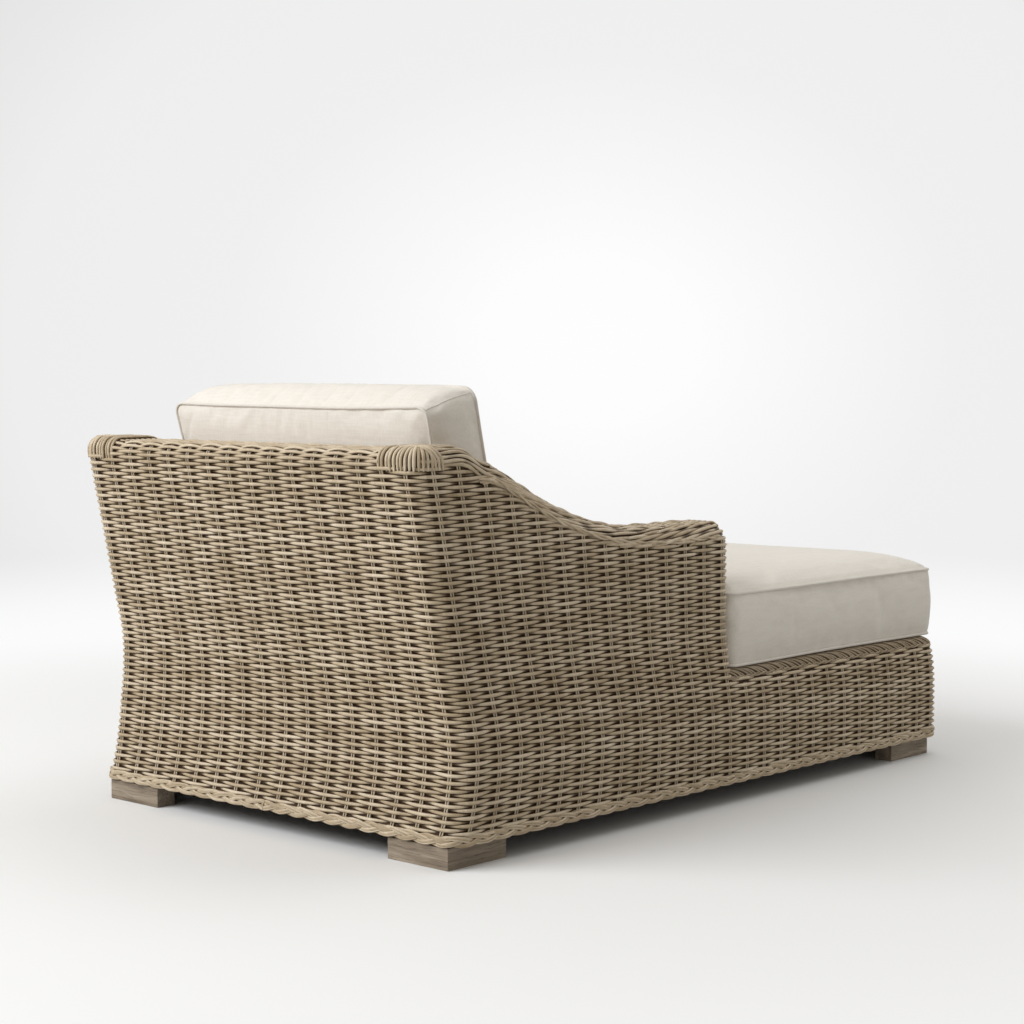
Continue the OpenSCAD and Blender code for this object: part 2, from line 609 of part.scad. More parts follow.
seat_steps = [
    [14, seat_bottom], [3, seat_bottom + 4], [notch, seam_low], [cord_side, seam_low + notch],
    [-3, seam_low * 0.75 + seat_seam_h * 0.25], [-4, (seam_low + seat_seam_h) / 2],
    [-3, seam_low * 0.25 + seat_seam_h * 0.75], [cord_side, seat_seam_h - notch], [notch, seat_seam_h],
    [3, seat_seam_h + notch], [14, seat_seam_h + 0.32 * seat_crown], [40, seat_seam_h + 0.62 * seat_crown],
    [90, seat_seam_h + 0.88 * seat_crown], [160, seat_seam_h + seat_crown]];
foam_in = 14;
foam_gap = 0.5;
module seat_slab(d, z0, z1) { translate([0, 0, z0]) linear_extrude(z1 - z0) polygon(seat_outline(d)); }
foam_low = seat_bottom + 6;
foam_high = seat_seam_h - 2;
module seat_cushion_cover() {
    color(linen) difference() {
        loft([for (s = seat_steps) [for (p = seat_outline(s[0])) [p.x, p.y, s[1]]]], mid = [0,
            ear_y - seat_w / 4]);
        seat_slab(foam_in - foam_gap, foam_low - foam_gap, foam_high + foam_gap);
    }
}
module seat_cushion_foam() { color("#efe6c8") seat_slab(foam_in, foam_low, foam_high); }
module ring_cord(path, c = [0, 0, 0]) {
    n = len(path);
    cord_ring(path, [for (i = [0:n - 1]) let (t = path[(i + 1) % n] - path[(i + n - 1) % n]) [t.y,
        -t.x, 0] / norm(t)],
        [0, 0, 1], cord_out);
}
module seat_cushion_piping() {
    color(linen) for (z = [seam_low, seat_seam_h]) ring_cord([for (p = seat_outline(0.5)) [p.x, p.y, z]]);
}

// Back cushion: drawn flat in its own plane, then set between two sloping edge lines
back_rest_z = seat_seam_h + seat_crown + loose_gap + cord_out;
cushion_off = (back_crown + loose_gap) / cos(lean);
cushion_rear_top = [inner_y(back_cushion_h) - cushion_off, back_cushion_h];
cushion_rear_low = [inner_y(back_rest_z) - cushion_off, back_rest_z];
cushion_front_top = cushion_rear_top + back_cushion_t * [-cos(lean), sin(lean)];
cushion_front_low = cushion_rear_low - [back_cushion_t / cos(lean), 0];
function cushion_point(x, v, w) = let (
    low = cushion_rear_low + w * (cushion_front_low - cushion_rear_low),
    high = cushion_rear_top + w * (cushion_front_top - cushion_rear_top),
        p = low + v * (high - low)) [x, p.x, p.y];
cushion_v = norm(cushion_rear_top - cushion_rear_low);
function back_outline(d) = let (x = back_cushion_w / 2 - d, r = max(8, back_corner_r - d), lo = d,
    hi = cushion_v - d, k = draw_in)
    concat(arc([x - r, lo + r], r, 270, 360, 4), bow([x, lo + r], [x, hi - r], 4, -k), arc([x - r,
        hi - r], r, 0, 90, 4),
        bow([x - r, hi], [r - x, hi], 4, -k), arc([r - x, hi - r], r, 90, 180, 4),
        bow([-x, hi - r], [-x, lo + r], 4, -k), arc([r - x, lo + r], r, 180, 270, 4), bow([r - x, lo],
            [x - r, lo], 4, 0));
function back_ring(d, w) = [for (p = back_outline(d)) cushion_point(p.x, p.y / cushion_v,
    w / back_cushion_t)];
back_steps = [[150, 1], [90, 0.9], [40, 0.62], [14, 0.32]];
function face_rings(w0, s) = [for (b = back_steps) [b[0], w0 + s * b[1] * back_crown]];
back_rings = concat(face_rings(0, -1), [[3, -notch], [notch, 0], [cord_side, notch], [-3,
    0.3 * back_cushion_t],
    [-4, 0.5 * back_cushion_t], [-3, 0.7 * back_cushion_t], [cord_side, back_cushion_t - notch],
        [notch, back_cushion_t],
    [3, back_cushion_t + notch]], flip(face_rings(back_cushion_t, 1)));
fill_in = foam_in + 2;
function fill_corner(v, w, d) = let (p = cushion_point(0, (v == 0 ? d : cushion_v - d) / cushion_v,
    (w == 0 ? d : back_cushion_t - d) / back_cushion_t)) [p.y, p.z];
module fill_block(d) {
    along_x(back_cushion_w - 2 * d)
        polygon([fill_corner(0, 0, d), fill_corner(1, 0, d), fill_corner(1, 1, d), fill_corner(0, 1, d)]);
}
module back_cushion_cover() {
    color(linen) difference() {
        loft([for (b = back_rings) back_ring(b[0], b[1])]);
        fill_block(fill_in - foam_gap);
    }
}
module back_cushion_fill() { color("#efe6c8") fill_block(fill_in); }
module back_cushion_piping() {
    color(linen) for (w = [0, back_cushion_t]) cushion_cord(back_ring(0.5, w));
}
module cushion_cord(path) {
    n = len(path);
    across = [0, -cos(lean), sin(lean)];
    cord_ring(path, [for (i = [0:n - 1]) let (t = path[(i + 1) % n] - path[(i + n - 1) % n])
        cross(t / norm(t), across)], across, cord_out);
}

base_rail_side(-1);  // base_rail_left
base_rail_side(1);  // base_rail_right
base_rail_end(rail_end_foot + base_rail_w / 2);  // base_rail_foot
base_rail_end(rail_end_back - base_rail_w / 2);  // base_rail_back
seat_rail_side(-1);  // seat_rail_left
seat_rail_side(1);  // seat_rail_right
seat_rail_foot();
seat_rail_back();
seat_cross_bars();
foot_post(-1);  // foot_post_left
foot_post(1);  // foot_post_right
back_post(-1);  // back_post_left
back_post(1);  // back_post_right
back_brace(-1);  // back_brace_left
back_brace(1);  // back_brace_right
back_top_rail();
back_front_rail();
back_middle_rail();
arm_outer_tube(-1);  // arm_outer_tube_left
arm_outer_tube(1);  // arm_outer_tube_right
arm_inner_tube(-1);  // arm_inner_tube_left
arm_inner_tube(1);  // arm_inner_tube_right
arm_ties(-1);  // arm_ties_left
arm_ties(1);  // arm_ties_right
webbing_lengthwise();
webbing_crosswise();
weave_back_outer();
weave_back_inner();
weave_back_top();
weave_cap(-1);  // weave_cap_left
weave_cap(1);  // weave_cap_right
weave_arm_outer(-1);  // weave_arm_outer_left
weave_arm_outer(1);  // weave_arm_outer_right
weave_arm_inner(-1);  // weave_arm_inner_left
weave_arm_inner(1);  // weave_arm_inner_right
weave_arm_top(-1);  // weave_arm_top_left
weave_arm_top(1);  // weave_arm_top_right
weave_arm_front(-1);  // weave_arm_front_left
weave_arm_front(1);  // weave_arm_front_right
weave_base_side(-1);  // weave_base_left
weave_base_side(1);  // weave_base_right
weave_base_foot();
seat_border_side(-1);  // seat_border_left
seat_border_side(1);  // seat_border_right
seat_border_foot();
bottom_braid();
foot(-1, false);  // foot_front_left
foot(1, false);  // foot_front_right
foot(-1, true);  // foot_back_left
foot(1, true);  // foot_back_right
foot_screws();
seat_cushion_cover();
seat_cushion_foam();
seat_cushion_piping();
back_cushion_cover();
back_cushion_fill();
back_cushion_piping();
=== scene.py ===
import math

import bmesh
import bpy
import numpy as np
from mathutils import Matrix, Vector
from mathutils.bvhtree import BVHTree


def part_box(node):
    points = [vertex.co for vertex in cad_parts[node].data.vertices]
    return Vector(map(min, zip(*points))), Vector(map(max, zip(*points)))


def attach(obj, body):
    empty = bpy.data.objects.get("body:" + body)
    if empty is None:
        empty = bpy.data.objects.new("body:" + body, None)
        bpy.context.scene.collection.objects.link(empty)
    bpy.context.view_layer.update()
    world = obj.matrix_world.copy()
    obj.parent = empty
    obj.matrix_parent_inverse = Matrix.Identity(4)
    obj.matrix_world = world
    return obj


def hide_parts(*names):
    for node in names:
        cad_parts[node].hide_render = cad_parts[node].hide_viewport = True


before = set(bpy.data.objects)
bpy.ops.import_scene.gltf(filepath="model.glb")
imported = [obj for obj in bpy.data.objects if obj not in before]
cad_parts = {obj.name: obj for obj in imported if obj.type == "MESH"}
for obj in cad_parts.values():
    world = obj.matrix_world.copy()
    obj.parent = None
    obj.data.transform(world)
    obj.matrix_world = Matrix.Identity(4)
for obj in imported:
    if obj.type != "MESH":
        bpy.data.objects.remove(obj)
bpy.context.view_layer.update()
scene = bpy.context.scene
rng = np.random.default_rng(7)

# Sizes of the part in millimetres, as the CAD has them
MM = 0.001
BODY_L, BODY_W, BACK_H, BORDER_H, FOOT_H = 1740.0, 996.0, 768.0, 281.0, 42.0
CORNER_R, BRAID_OUT, BRAID_H, BORDER_ROLL = 40.0, 3.0, 24.0, 31.0
ARM_T, ARM_H, ARM_ROLL, NOSE_R = 120.0, 596.0, 35.0, 50.0
BACK_T, BACK_ROLL, CAP_RISE = 150.0, 27.0, 7.0
RAKE, LEAN, SWOOP = math.radians(12.1), math.radians(14.5), math.radians(26.3)
LOW_R, HIGH_R = 855.0, 60.0
WAIST, UNDER_R, OVER_R = 230.0, 575.0, 700.0
HALF, REAR = BODY_W / 2, BODY_L / 2
FOOT_Y = BRAID_OUT - REAR
ARM_FRONT, ARM_IN = FOOT_Y + 798.0, HALF - ARM_T
RAIL_Z, DECK_TOP = BORDER_H - BORDER_ROLL, BORDER_H - 2.4
NOSE_C = (ARM_FRONT + NOSE_R, ARM_H - NOSE_R)
CAP_Y = REAR - BACK_T
SHOULDER_Y, SHOULDER_H = CAP_Y - 46.0, BACK_H - 27.0
RUN = (SHOULDER_H - ARM_H - (LOW_R + HIGH_R) * (1 - math.cos(SWOOP))) / math.sin(SWOOP)
SWOOP_Y = SHOULDER_Y - (LOW_R + HIGH_R) * math.sin(SWOOP) - RUN * math.cos(SWOOP)
ROLL_C, INNER_C = (REAR - BACK_ROLL, BACK_H - BACK_ROLL), (CAP_Y + BACK_ROLL, BACK_H - BACK_ROLL)
ROLL_START = (ROLL_C[0] + BACK_ROLL * math.cos(RAKE), ROLL_C[1] - BACK_ROLL * math.sin(RAKE))
INNER_START = (INNER_C[0] - BACK_ROLL * math.cos(LEAN), INNER_C[1] + BACK_ROLL * math.sin(LEAN))
CAP_Z, CAP_LEVEL = ROLL_START[1], BACK_H + CAP_RISE
SIDES = ("left", "right")


def ease(t):
    t = np.clip(t, 0, 1)
    return t * t * (3 - 2 * t)


def lengths(p):
    """Length along a path up to each of its points."""
    return np.concatenate([[0], np.cumsum(np.linalg.norm(np.diff(p, axis=0), axis=1))])


def unit(v):
    return v / (np.linalg.norm(v, axis=1)[:, None] + 1e-12)


def mirrored(p, n):
    """A path on the other side of the part's middle."""
    return p * [-1, 1, 1], n * [-1, 1, 1]


def turned_in(p, n):
    """A path on the outer half of an arm, moved to its inner half."""
    return np.column_stack([HALF + ARM_IN - p[:, 0], p[:, 1:]]), n * [-1, 1, 1]


def side_x(z):
    """Half width at a height: flared below, and drawn in a little at the braid."""
    return HALF + 25 * (1 - ease((z - 170) / 210.0)) - 3.5 * np.maximum(0, (100 - z) / 58.0) ** 2


def rear_rise(z):
    """How far back the rear face has come at a height: two bends at the waist, then straight."""
    z = np.asarray(z, float)
    low = UNDER_R - np.sqrt(UNDER_R**2 - np.clip(WAIST - z, 0, 500) ** 2)
    top = WAIST + OVER_R * math.sin(RAKE)
    high = OVER_R - np.sqrt(OVER_R**2 - np.clip(np.minimum(z, top) - WAIST, 0, 500) ** 2)
    return np.where(z < WAIST, low, high + np.maximum(0, z - top) * math.tan(RAKE))


def rear_y(z):
    return ROLL_START[0] - rear_rise(ROLL_START[1]) + rear_rise(z)


def inner_y(z):
    return INNER_START[0] - (INNER_START[1] - z) * math.tan(LEAN)


def arc_points(centre, r, start, stop, count, sign=1):
    """Points of an arc, each with its way out."""
    g = np.radians(np.linspace(start, stop, count))
    e = np.stack([np.cos(g), np.sin(g)], 1)
    return np.hstack([np.array(centre) + r * e, sign * e])


# The crest of the arm by its length, from the nose to the cap: y, z and the way out of it
CREST = np.vstack([
    arc_points(NOSE_C, NOSE_R, 180, 90, 60),
    arc_points((SWOOP_Y, ARM_H + LOW_R), LOW_R, 270, 270 + math.degrees(SWOOP), 60, -1),
    arc_points((SHOULDER_Y, SHOULDER_H - HIGH_R), HIGH_R, 90 + math.degrees(SWOOP), 90, 60),
    [[CAP_Y, SHOULDER_H, 0.0, 1.0]],
])
CREST_S = lengths(CREST[:, :2])
CREST_LEN = CREST_S[-1]
NOSE_S = NOSE_R * math.pi / 2


def crest_at(s):
    return [np.interp(s, CREST_S, CREST[:, k]) for k in range(4)]


def place(name, data):
    obj = bpy.data.objects.new(name, data)
    scene.collection.objects.link(obj)
    return obj


def grid_faces(rows, count, closed):
    """Four-sided faces between rows of points."""
    i, k = np.meshgrid(np.arange(rows - 1), np.arange(count if closed else count - 1), indexing="ij")
    j = (k + 1) % count
    faces = [i * count + k, i * count + j, (i + 1) * count + j, (i + 1) * count + k]
    return np.stack(faces, -1).reshape(-1, 4)


class Strands:
    """A mesh of many strands. Each has its points, the way out of the surface at each of them, its
    half thickness and half width, and a tone of its own."""

    def __init__(self, sides=6):
        self.sides, self.count, self.co, self.quads = sides, 0, [], []
        # the last mark is how far each point's colour goes towards the cane's painted shade
        self.marks = {"tone": [], "along": [], "deep": []}

    def join(self, co, quads, **marks):
        self.co.append(co)
        self.quads.append(quads + self.count)
        self.count += len(co)
        for key, values in marks.items():
            self.marks[key].append(np.broadcast_to(values, len(co)))

    def add(self, p, out, a, b, tone, taper=(0, 0), deep=0.0):
        p, out = np.asarray(p, float), np.asarray(out, float)
        m, s = len(p), self.sides
        if m < 2:
            return
        t = unit(np.gradient(p, axis=0))
        n = unit(out - (out * t).sum(1)[:, None] * t)
        size = np.stack([np.broadcast_to(a, m), np.broadcast_to(b, m)]).astype(float)
        for at, k in ((0, taper[0]), (m - 1, taper[1])):
            if k:
                size[:, at] *= k
        g = 2 * math.pi * np.arange(s) / s + math.pi / s
        thick, wide = size[0, :, None] * np.cos(g), size[1, :, None] * np.sin(g)
        ring = p[:, None] + thick[:, :, None] * n[:, None] + wide[:, :, None] * np.cross(t, n)[:, None]
        # painted shade also darkens each ring's flanks and inner side, most at its back
        deep = np.repeat(np.broadcast_to(deep, m), s)
        self.join(ring.reshape(-1, 3), grid_faces(m, s, True), tone=tone, along=np.repeat(lengths(p), s),
                  deep=np.maximum(deep, np.tile(0.47 * (1 - np.cos(g)), m)))

    def sheet(self, grid):
        """A plain sheet through a grid of points, as the shade behind the strands."""
        grid = np.asarray(grid, float)
        faces = grid_faces(*grid.shape[:2], False)
        self.join(grid.reshape(-1, 3), faces, tone=0.0, along=0.0, deep=1.0)

    def make(self, name, material, body, *nodes, slot, mirror=False):
        co, quads = np.concatenate(self.co) * MM, np.concatenate(self.quads).astype(np.int32)
        if mirror:
            co, quads = co * [-1, 1, 1], quads[:, ::-1]
        mesh = bpy.data.meshes.new(name)
        mesh.vertices.add(len(co))
        mesh.vertices.foreach_set("co", co.astype(np.float32).ravel())
        mesh.loops.add(quads.size)
        mesh.loops.foreach_set("vertex_index", quads.ravel())
        mesh.polygons.add(len(quads))
        mesh.polygons.foreach_set("loop_start", np.arange(0, quads.size, 4, dtype=np.int32))
        mesh.polygons.foreach_set("loop_total", np.full(len(quads), 4, dtype=np.int32))
        mesh.polygons.foreach_set("use_smooth", np.ones(len(quads), bool))
        mesh.update(calc_edges=True)
        mesh.validate()
        mesh.materials.append(material)
        obj = place(name, mesh)
        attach(obj, body)
        if nodes:
            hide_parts(*nodes)
        for key, values in self.marks.items():
            mark = mesh.attributes.new(key, "FLOAT", "POINT")
            mark.data.foreach_set("value", np.concatenate(values).astype(np.float32))


# Materials
def srgb(r, g, b, shift=1.0):
    light = (((c / 255 + 0.055) / 1.055) ** 2.4 if c > 10 else c / 255 / 12.92 for c in (r, g, b))
    return tuple(c * shift for c in light) + (1,)


class Nodes:
    """A node tree with short ways to add nodes. A socket that is given as a value gets linked."""

    def __init__(self, owner):
        owner.use_nodes = True
        self.tree = owner.node_tree

    def put(self, socket, value):
        if isinstance(value, bpy.types.NodeSocket):
            self.tree.links.new(value, socket)
        else:
            socket.default_value = value

    def new(self, kind, inputs, **settings):
        node = self.tree.nodes.new("ShaderNode" + kind)
        for key, value in settings.items():
            setattr(node, key, value)
        for key, value in inputs.items():
            self.put(node.inputs[key], value)
        return node.outputs

    def math(self, operation, *values, clamp=False):
        return self.new("Math", dict(enumerate(values)), operation=operation, use_clamp=clamp)[0]

    def total(self, *terms):
        """Sum of values, each with its weight."""
        first, *rest = [self.math("MULTIPLY", value, weight) for value, weight in terms]
        for part in rest:
            first = self.math("ADD", first, part)
        return first

    def vector(self, operation, *values):
        return self.new("VectorMath", dict(enumerate(values)), operation=operation)

    def noise(self, vector, scale, detail=3.0, rough=0.5, twist=0.0):
        inputs = {"Vector": vector, "Scale": scale, "Detail": detail, "Roughness": rough, "Distortion": twist}
        return self.new("TexNoise", inputs)["Fac"]

    def wave(self, vector, axis, scale, **more):
        inputs = {"Vector": vector, "Scale": scale, **more}
        return self.new("TexWave", inputs, wave_type="BANDS", bands_direction=axis, wave_profile="SIN")["Fac"]

    def ramp(self, fac, *stops):
        node = self.tree.nodes.new("ShaderNodeValToRGB")
        elements = node.color_ramp.elements
        while len(elements) < len(stops):
            elements.new(0.5)
        for element, (position, colour) in zip(elements, stops):
            element.position, element.color = position, colour
        self.put(node.inputs["Fac"], fac)
        return node.outputs["Color"]

    def coords(self, scale=(1, 1, 1)):
        at = self.new("TexCoord", {})["Object"]
        return self.new("Mapping", {"Vector": at, "Scale": scale})["Vector"]

    def attr(self, name):
        return self.new("Attribute", {}, attribute_name=name)["Fac"]

    def bump(self, height, strength, distance, **after):
        inputs = {"Height": height, "Strength": strength, "Distance": distance, **after}
        return self.new("Bump", inputs)["Normal"]

    def mix(self, fac, a, b):
        return self.new("Mix", {0: fac, 6: a, 7: b}, data_type="RGBA")[2]

    def part_of(self, value, low, high, **settings):
        inputs = {"Value": value, "From Min": low, "From Max": high}
        return self.new("MapRange", inputs, **settings)["Result"]


def material(name, build, *values):
    """A material whose shader takes the inputs that build gives back."""
    made = bpy.data.materials.new(name)
    nodes = Nodes(made)
    for key, value in build(nodes, *values).items():
        nodes.put(nodes.tree.nodes["Principled BSDF"].inputs[key], value)
    return made


BLACK, WHITE = (0, 0, 0, 1), (1, 1, 1, 1)


def cane(n, shift=1.0):
    """Each strand has its tone and streaks along it, and painted shade darkens it where it dips behind a
    stake.
    """
    tone, along, deep = n.attr("tone"), n.attr("along"), n.attr("deep")
    at = n.new("CombineXYZ", {0: n.math("MULTIPLY", along, 0.035), 1: n.math("MULTIPLY", tone, 91.7)})
    streak = n.noise(at[0], 1.0, 3.0, 0.6)
    mixed = n.total((streak, 0.52), (n.noise(n.coords(), 9.0, 2.0), 0.24), (tone, 0.24))
    tints = (srgb(*rgb, shift) for rgb in ((162, 142, 112), (202, 185, 158), (234, 220, 198)))
    fine = n.noise(n.coords(), 900.0, 2.0)
    base = n.ramp(mixed, *zip((0.26, 0.50, 0.74), tints))
    base = n.mix(n.math("MULTIPLY", fine, 0.16), base, srgb(152, 130, 102))
    # painted shade: where a strand dips behind a stake, and on its flanks and inner side, the colour goes
    # towards a dark warm brown
    shade_weight = n.ramp(deep, (0.25, BLACK), (0.9, WHITE))
    return {"Base Color": n.mix(n.math("MULTIPLY", shade_weight, 0.84), base, srgb(78, 48, 17)),
            "Roughness": n.math("ADD", n.math("MULTIPLY", streak, 0.20), 0.40),
            "Normal": n.bump(fine, 0.22, 0.0004), "Specular IOR Level": 0.38}


def cane_shade(n):
    base = n.ramp(n.noise(n.coords(), 60.0), (0.3, srgb(50, 31, 12)), (0.7, srgb(72, 47, 22)))
    return {"Base Color": base, "Roughness": 0.85}


def linen(n, shift=1.0):
    """Plain weave with thick and thin threads both ways."""
    at = n.coords()
    weave = n.total(*((n.wave(at, axis, 165.0, Distortion=1.6, Detail=1.0), 0.333) for axis in "XYZ"))
    slub = n.total(*((n.noise(n.coords(scale), 1.0, 2.0), 0.5) for scale in ((18, 260, 260), (260, 18, 60))))
    mixed = n.total((weave, 0.10), (n.noise(n.coords(), 3.2), 0.18), (slub, 0.72))
    tints = (srgb(*rgb, shift) for rgb in ((226, 221, 213), (237, 232, 225), (245, 241, 235)))
    return {"Base Color": n.ramp(mixed, *zip((0.28, 0.52, 0.75), tints)),
            "Roughness": 0.92, "Specular IOR Level": 0.2, "Sheen Weight": 0.25, "Sheen Roughness": 0.5,
            "Normal": n.bump(slub, 0.30, 0.0006, Normal=n.bump(weave, 0.18, 0.0006))}


def wood(n, stretch):
    """Grey weathered timber: rings drawn out along the grain, and dark pores."""
    rings = n.noise(n.coords(stretch), 1.6, 6.0, 0.62, 0.6)
    pores = n.noise(n.coords(tuple(c * 9 for c in stretch)), 1.2, 3.0, 0.7)
    tints = (srgb(115, 102, 88), srgb(153, 139, 122), srgb(182, 168, 151))
    dark = n.math("MULTIPLY", n.ramp(pores, (0.36, WHITE), (0.46, BLACK)), 0.55)
    height = n.math("ADD", rings, n.math("MULTIPLY", pores, 0.6))
    return {"Base Color": n.mix(dark, n.ramp(rings, *zip((0.30, 0.50, 0.68), tints)), srgb(74, 63, 54)),
            "Roughness": n.math("ADD", n.math("MULTIPLY", pores, 0.25), 0.55),
            "Normal": n.bump(height, 0.35, 0.0008)}


def metal(n, rgb, rough, metallic):
    fine, broad = n.noise(n.coords(), 240.0, 2.0), n.noise(n.coords(), 6.0)
    return {"Base Color": n.ramp(broad, (0.35, srgb(*rgb, 0.86)), (0.65, srgb(*rgb))),
            "Roughness": n.math("ADD", n.math("MULTIPLY", fine, 0.18), rough),
            "Metallic": metallic, "Normal": n.bump(fine, 0.12, 0.0003)}


def strap(n, axes):
    ribs, cords = (n.wave(n.coords(), axis, scale) for axis, scale in zip(axes, (150.0, 60.0)))
    height = n.total((ribs, 0.6), (cords, 0.4))
    return {"Base Color": n.ramp(height, (0.2, srgb(56, 49, 41)), (0.8, srgb(92, 82, 70))),
            "Roughness": 0.8, "Normal": n.bump(height, 0.5, 0.0008)}


# the inner copy of the cane is 6% darker for the inner faces of the arms and back: painted shade
CANE, CANE_INNER_SHADED = material("cane", cane), material("cane_inner_shaded", cane, 0.94)
SHADE = material("cane_shade", cane_shade)
# the cord copy of the linen is 7% darker for the piping and stitched seams: painted shade on their undersides
LINEN, LINEN_CORD_SHADED = material("linen", linen), material("linen_cord_shaded", linen, 0.93)
WOOD = {"x": material("wood_x", wood, (2.2, 34, 34)), "y": material("wood_y", wood, (34, 2.2, 34))}
METAL = material("frame_metal", metal, (104, 94, 83), 0.42, 0.25)
STEEL = material("screw_steel", metal, (178, 178, 176), 0.3, 0.95)

# The woven shell: upright stakes in pairs, and rows that pass before one pair and behind the next.
# u counts the pairs of stakes: 0 at the front of the left arm's side, 13 to 14 round the rear
# corner, 14 to 29 over the rear face, 30 to 43 down the right side. Below 0 it runs along the base
# and round its foot corner, or, above the deck, round the arm's front and along its inner face
ROW, PAIR = 6.95, 61.0
DEEP, SWING, SHEET = 5.5, 4.2, 9.2
STEP = 1 / 7
MIDDLE_U, OVERLAP_U = 21.5, 13.5
Y0 = ARM_FRONT + ARM_ROLL
ROLL_Z, SHOULDER_Z = ARM_H - ARM_ROLL, SHOULDER_H - ARM_ROLL
ROW_Z = np.arange(FOOT_H + BRAID_H * 0.75, CAP_Z + 2, ROW)
ROW_TONE = rng.random(len(ROW_Z) + 8)


def nose_front(z, d):
    """How far back the front of the arm lies at a height, for a depth below the crest."""
    z, d = np.broadcast_arrays(np.asarray(z, float), np.asarray(d, float))
    r = np.maximum(0, (NOSE_R - d) ** 2 - np.maximum(0, z - NOSE_C[1]) ** 2)
    return np.where(z <= NOSE_C[1], ARM_FRONT + d, NOSE_C[0] - np.sqrt(r))


def shell(u, z, low):
    """Places and outward directions on the shell: the left half, and past its ends the right half."""
    u = np.asarray(u, float).copy()
    z = np.broadcast_to(np.asarray(z, float), u.shape)
    flip = np.abs(u) > MIDDLE_U
    if not low:
        flip &= u > 0
    u[flip] = 2 * MIDDLE_U * np.sign(u[flip]) - u[flip]
    w, back = side_x(z), rear_y(z)
    x, y = np.empty_like(u), np.empty_like(u)
    nx, ny = np.zeros_like(u), np.zeros_like(u)

    def corner(m, degrees, centre):
        nx[m], ny[m] = np.cos(np.radians(degrees)), np.sin(np.radians(degrees))
        x[m] = -(w[m] - CORNER_R) + CORNER_R * nx[m]
        y[m] = centre + CORNER_R * ny[m]

    m = (u >= 0) & (u <= 13)
    x[m], nx[m] = -w[m], -1
    y[m] = Y0 + u[m] / 13 * (back[m] - CORNER_R - Y0)
    m = (u > 13) & (u < 14)
    corner(m, 180 - 90 * (u[m] - 13), back[m] - CORNER_R)
    m = u >= 14
    x[m] = (u[m] - MIDDLE_U) / 7.5 * (w[m] - CORNER_R)
    y[m], ny[m] = back[m], 1
    if low:
        m = (u < 0) & (u >= -13)
        x[m], nx[m] = -w[m], -1
        y[m] = Y0 + u[m] / 13 * (Y0 - FOOT_Y - CORNER_R)
        m = (u < -13) & (u > -14)
        corner(m, 180 + 90 * (-u[m] - 13), FOOT_Y + CORNER_R)
        m = u <= -14
        x[m] = (-u[m] - MIDDLE_U) / 7.5 * (w[m] - CORNER_R)
        y[m], ny[m] = FOOT_Y, -1
    else:
        m = (u < 0) & (u > -1)
        f = np.radians(-90 * u[m])
        x[m] = -(w[m] - ARM_ROLL + ARM_ROLL * np.cos(f))
        y[m] = nose_front(z[m], ARM_ROLL * (1 - np.sin(f)))
        nx[m], ny[m] = -np.cos(f), -np.sin(f)
        m = (u <= -1) & (u >= -2)
        x[m] = -(w[m] - ARM_ROLL) + (-u[m] - 1) * (w[m] - ARM_IN - 2 * ARM_ROLL)
        y[m], ny[m] = nose_front(z[m], 0), -1
        m = (u < -2) & (u > -3)
        f = np.radians(90 + 90 * (u[m] + 2))
        x[m] = -(ARM_IN + ARM_ROLL - ARM_ROLL * np.cos(f))
        y[m] = nose_front(z[m], ARM_ROLL * (1 - np.sin(f)))
        nx[m], ny[m] = np.cos(f), -np.sin(f)
        m = u <= -3
        x[m], nx[m] = -ARM_IN, 1
        y[m] = Y0 + (-3 - u[m]) / 12 * (inner_y(z[m]) - Y0)
    side = np.where(flip, -1.0, 1.0)
    return np.stack([x * side, y, z], -1), np.stack([nx * side, ny, np.zeros_like(nx)], -1)


def swing(wave):
    """How a strand stands to the stakes: outward place, half thickness, half width, and painted shade where
    it dips behind a stake.
    """
    before, behind = np.maximum(0, wave), np.maximum(0, -wave)
    return (SWING * wave - DEEP - 1.3 * behind, 3.0 + 0.1 * wave, 3.15 + 0.60 * before - 0.9 * behind,
            np.clip(-wave * 1.15, 0, 1))


def woven_row(piece, u, z, low, parity, tone, roll=None):
    """One strand along the shell: it swings out at every other pair of stakes and in at the others."""
    p, n = shell(u, z, low)
    out, a, b, deep = swing(np.cos(np.pi * (u + parity)))
    if roll:
        inward, lean = roll
        n = n * math.cos(lean) + np.array([0, 0, math.sin(lean)])
        p = p - inward * unit(n * [1, 1, 0])
    p = p + out[:, None] * n
    p[:, 2] += 0.35 * np.sin(0.9 * u + 40 * tone) + 0.25 * np.sin(2.3 * u + 17 * tone)
    piece.add(p, n, a, b, tone, deep=deep)


def stakes(piece, us, zs, low):
    for u in us:
        z = np.asarray(zs(u) if callable(zs) else zs, float)
        p, n = shell(np.full(len(z), float(u)), z, low)
        for gap in (-3.0, 3.0):
            side = np.cross([0, 0, 1.0], n)
            piece.add(p + gap * side - (DEEP - 1.0) * n, n, 1.65, 1.65, 0.75 + 0.25 * rng.random())


def grid_of(us, zs, low, depth=SHEET):
    """Places behind the strands for a range of stakes and heights."""
    rows = [shell(us, np.full(len(us), float(z)), low) for z in zs]
    return np.array([p - depth * n for p, n in rows])


def lines(a, b):
    return np.arange(round(a / STEP), round(b / STEP) + 1) * STEP


def roll_point(s, f, out=0.0, inner=False):
    """On the arm's rolled edge: s is the length of crest from the nose, f is 0 on the side, 90 on top."""
    y, z, ny, nz = crest_at(s)
    d = ARM_ROLL * (1 - np.sin(f))
    n = np.stack([np.cos(f), np.sin(f) * ny, np.sin(f) * nz], -1)
    p = np.stack([HALF - ARM_ROLL + ARM_ROLL * np.cos(f), y - d * ny, z - d * nz], -1)
    p = p + np.multiply.outer(out, np.ones(3)) * n
    return turned_in(p, n) if inner else (p, n)


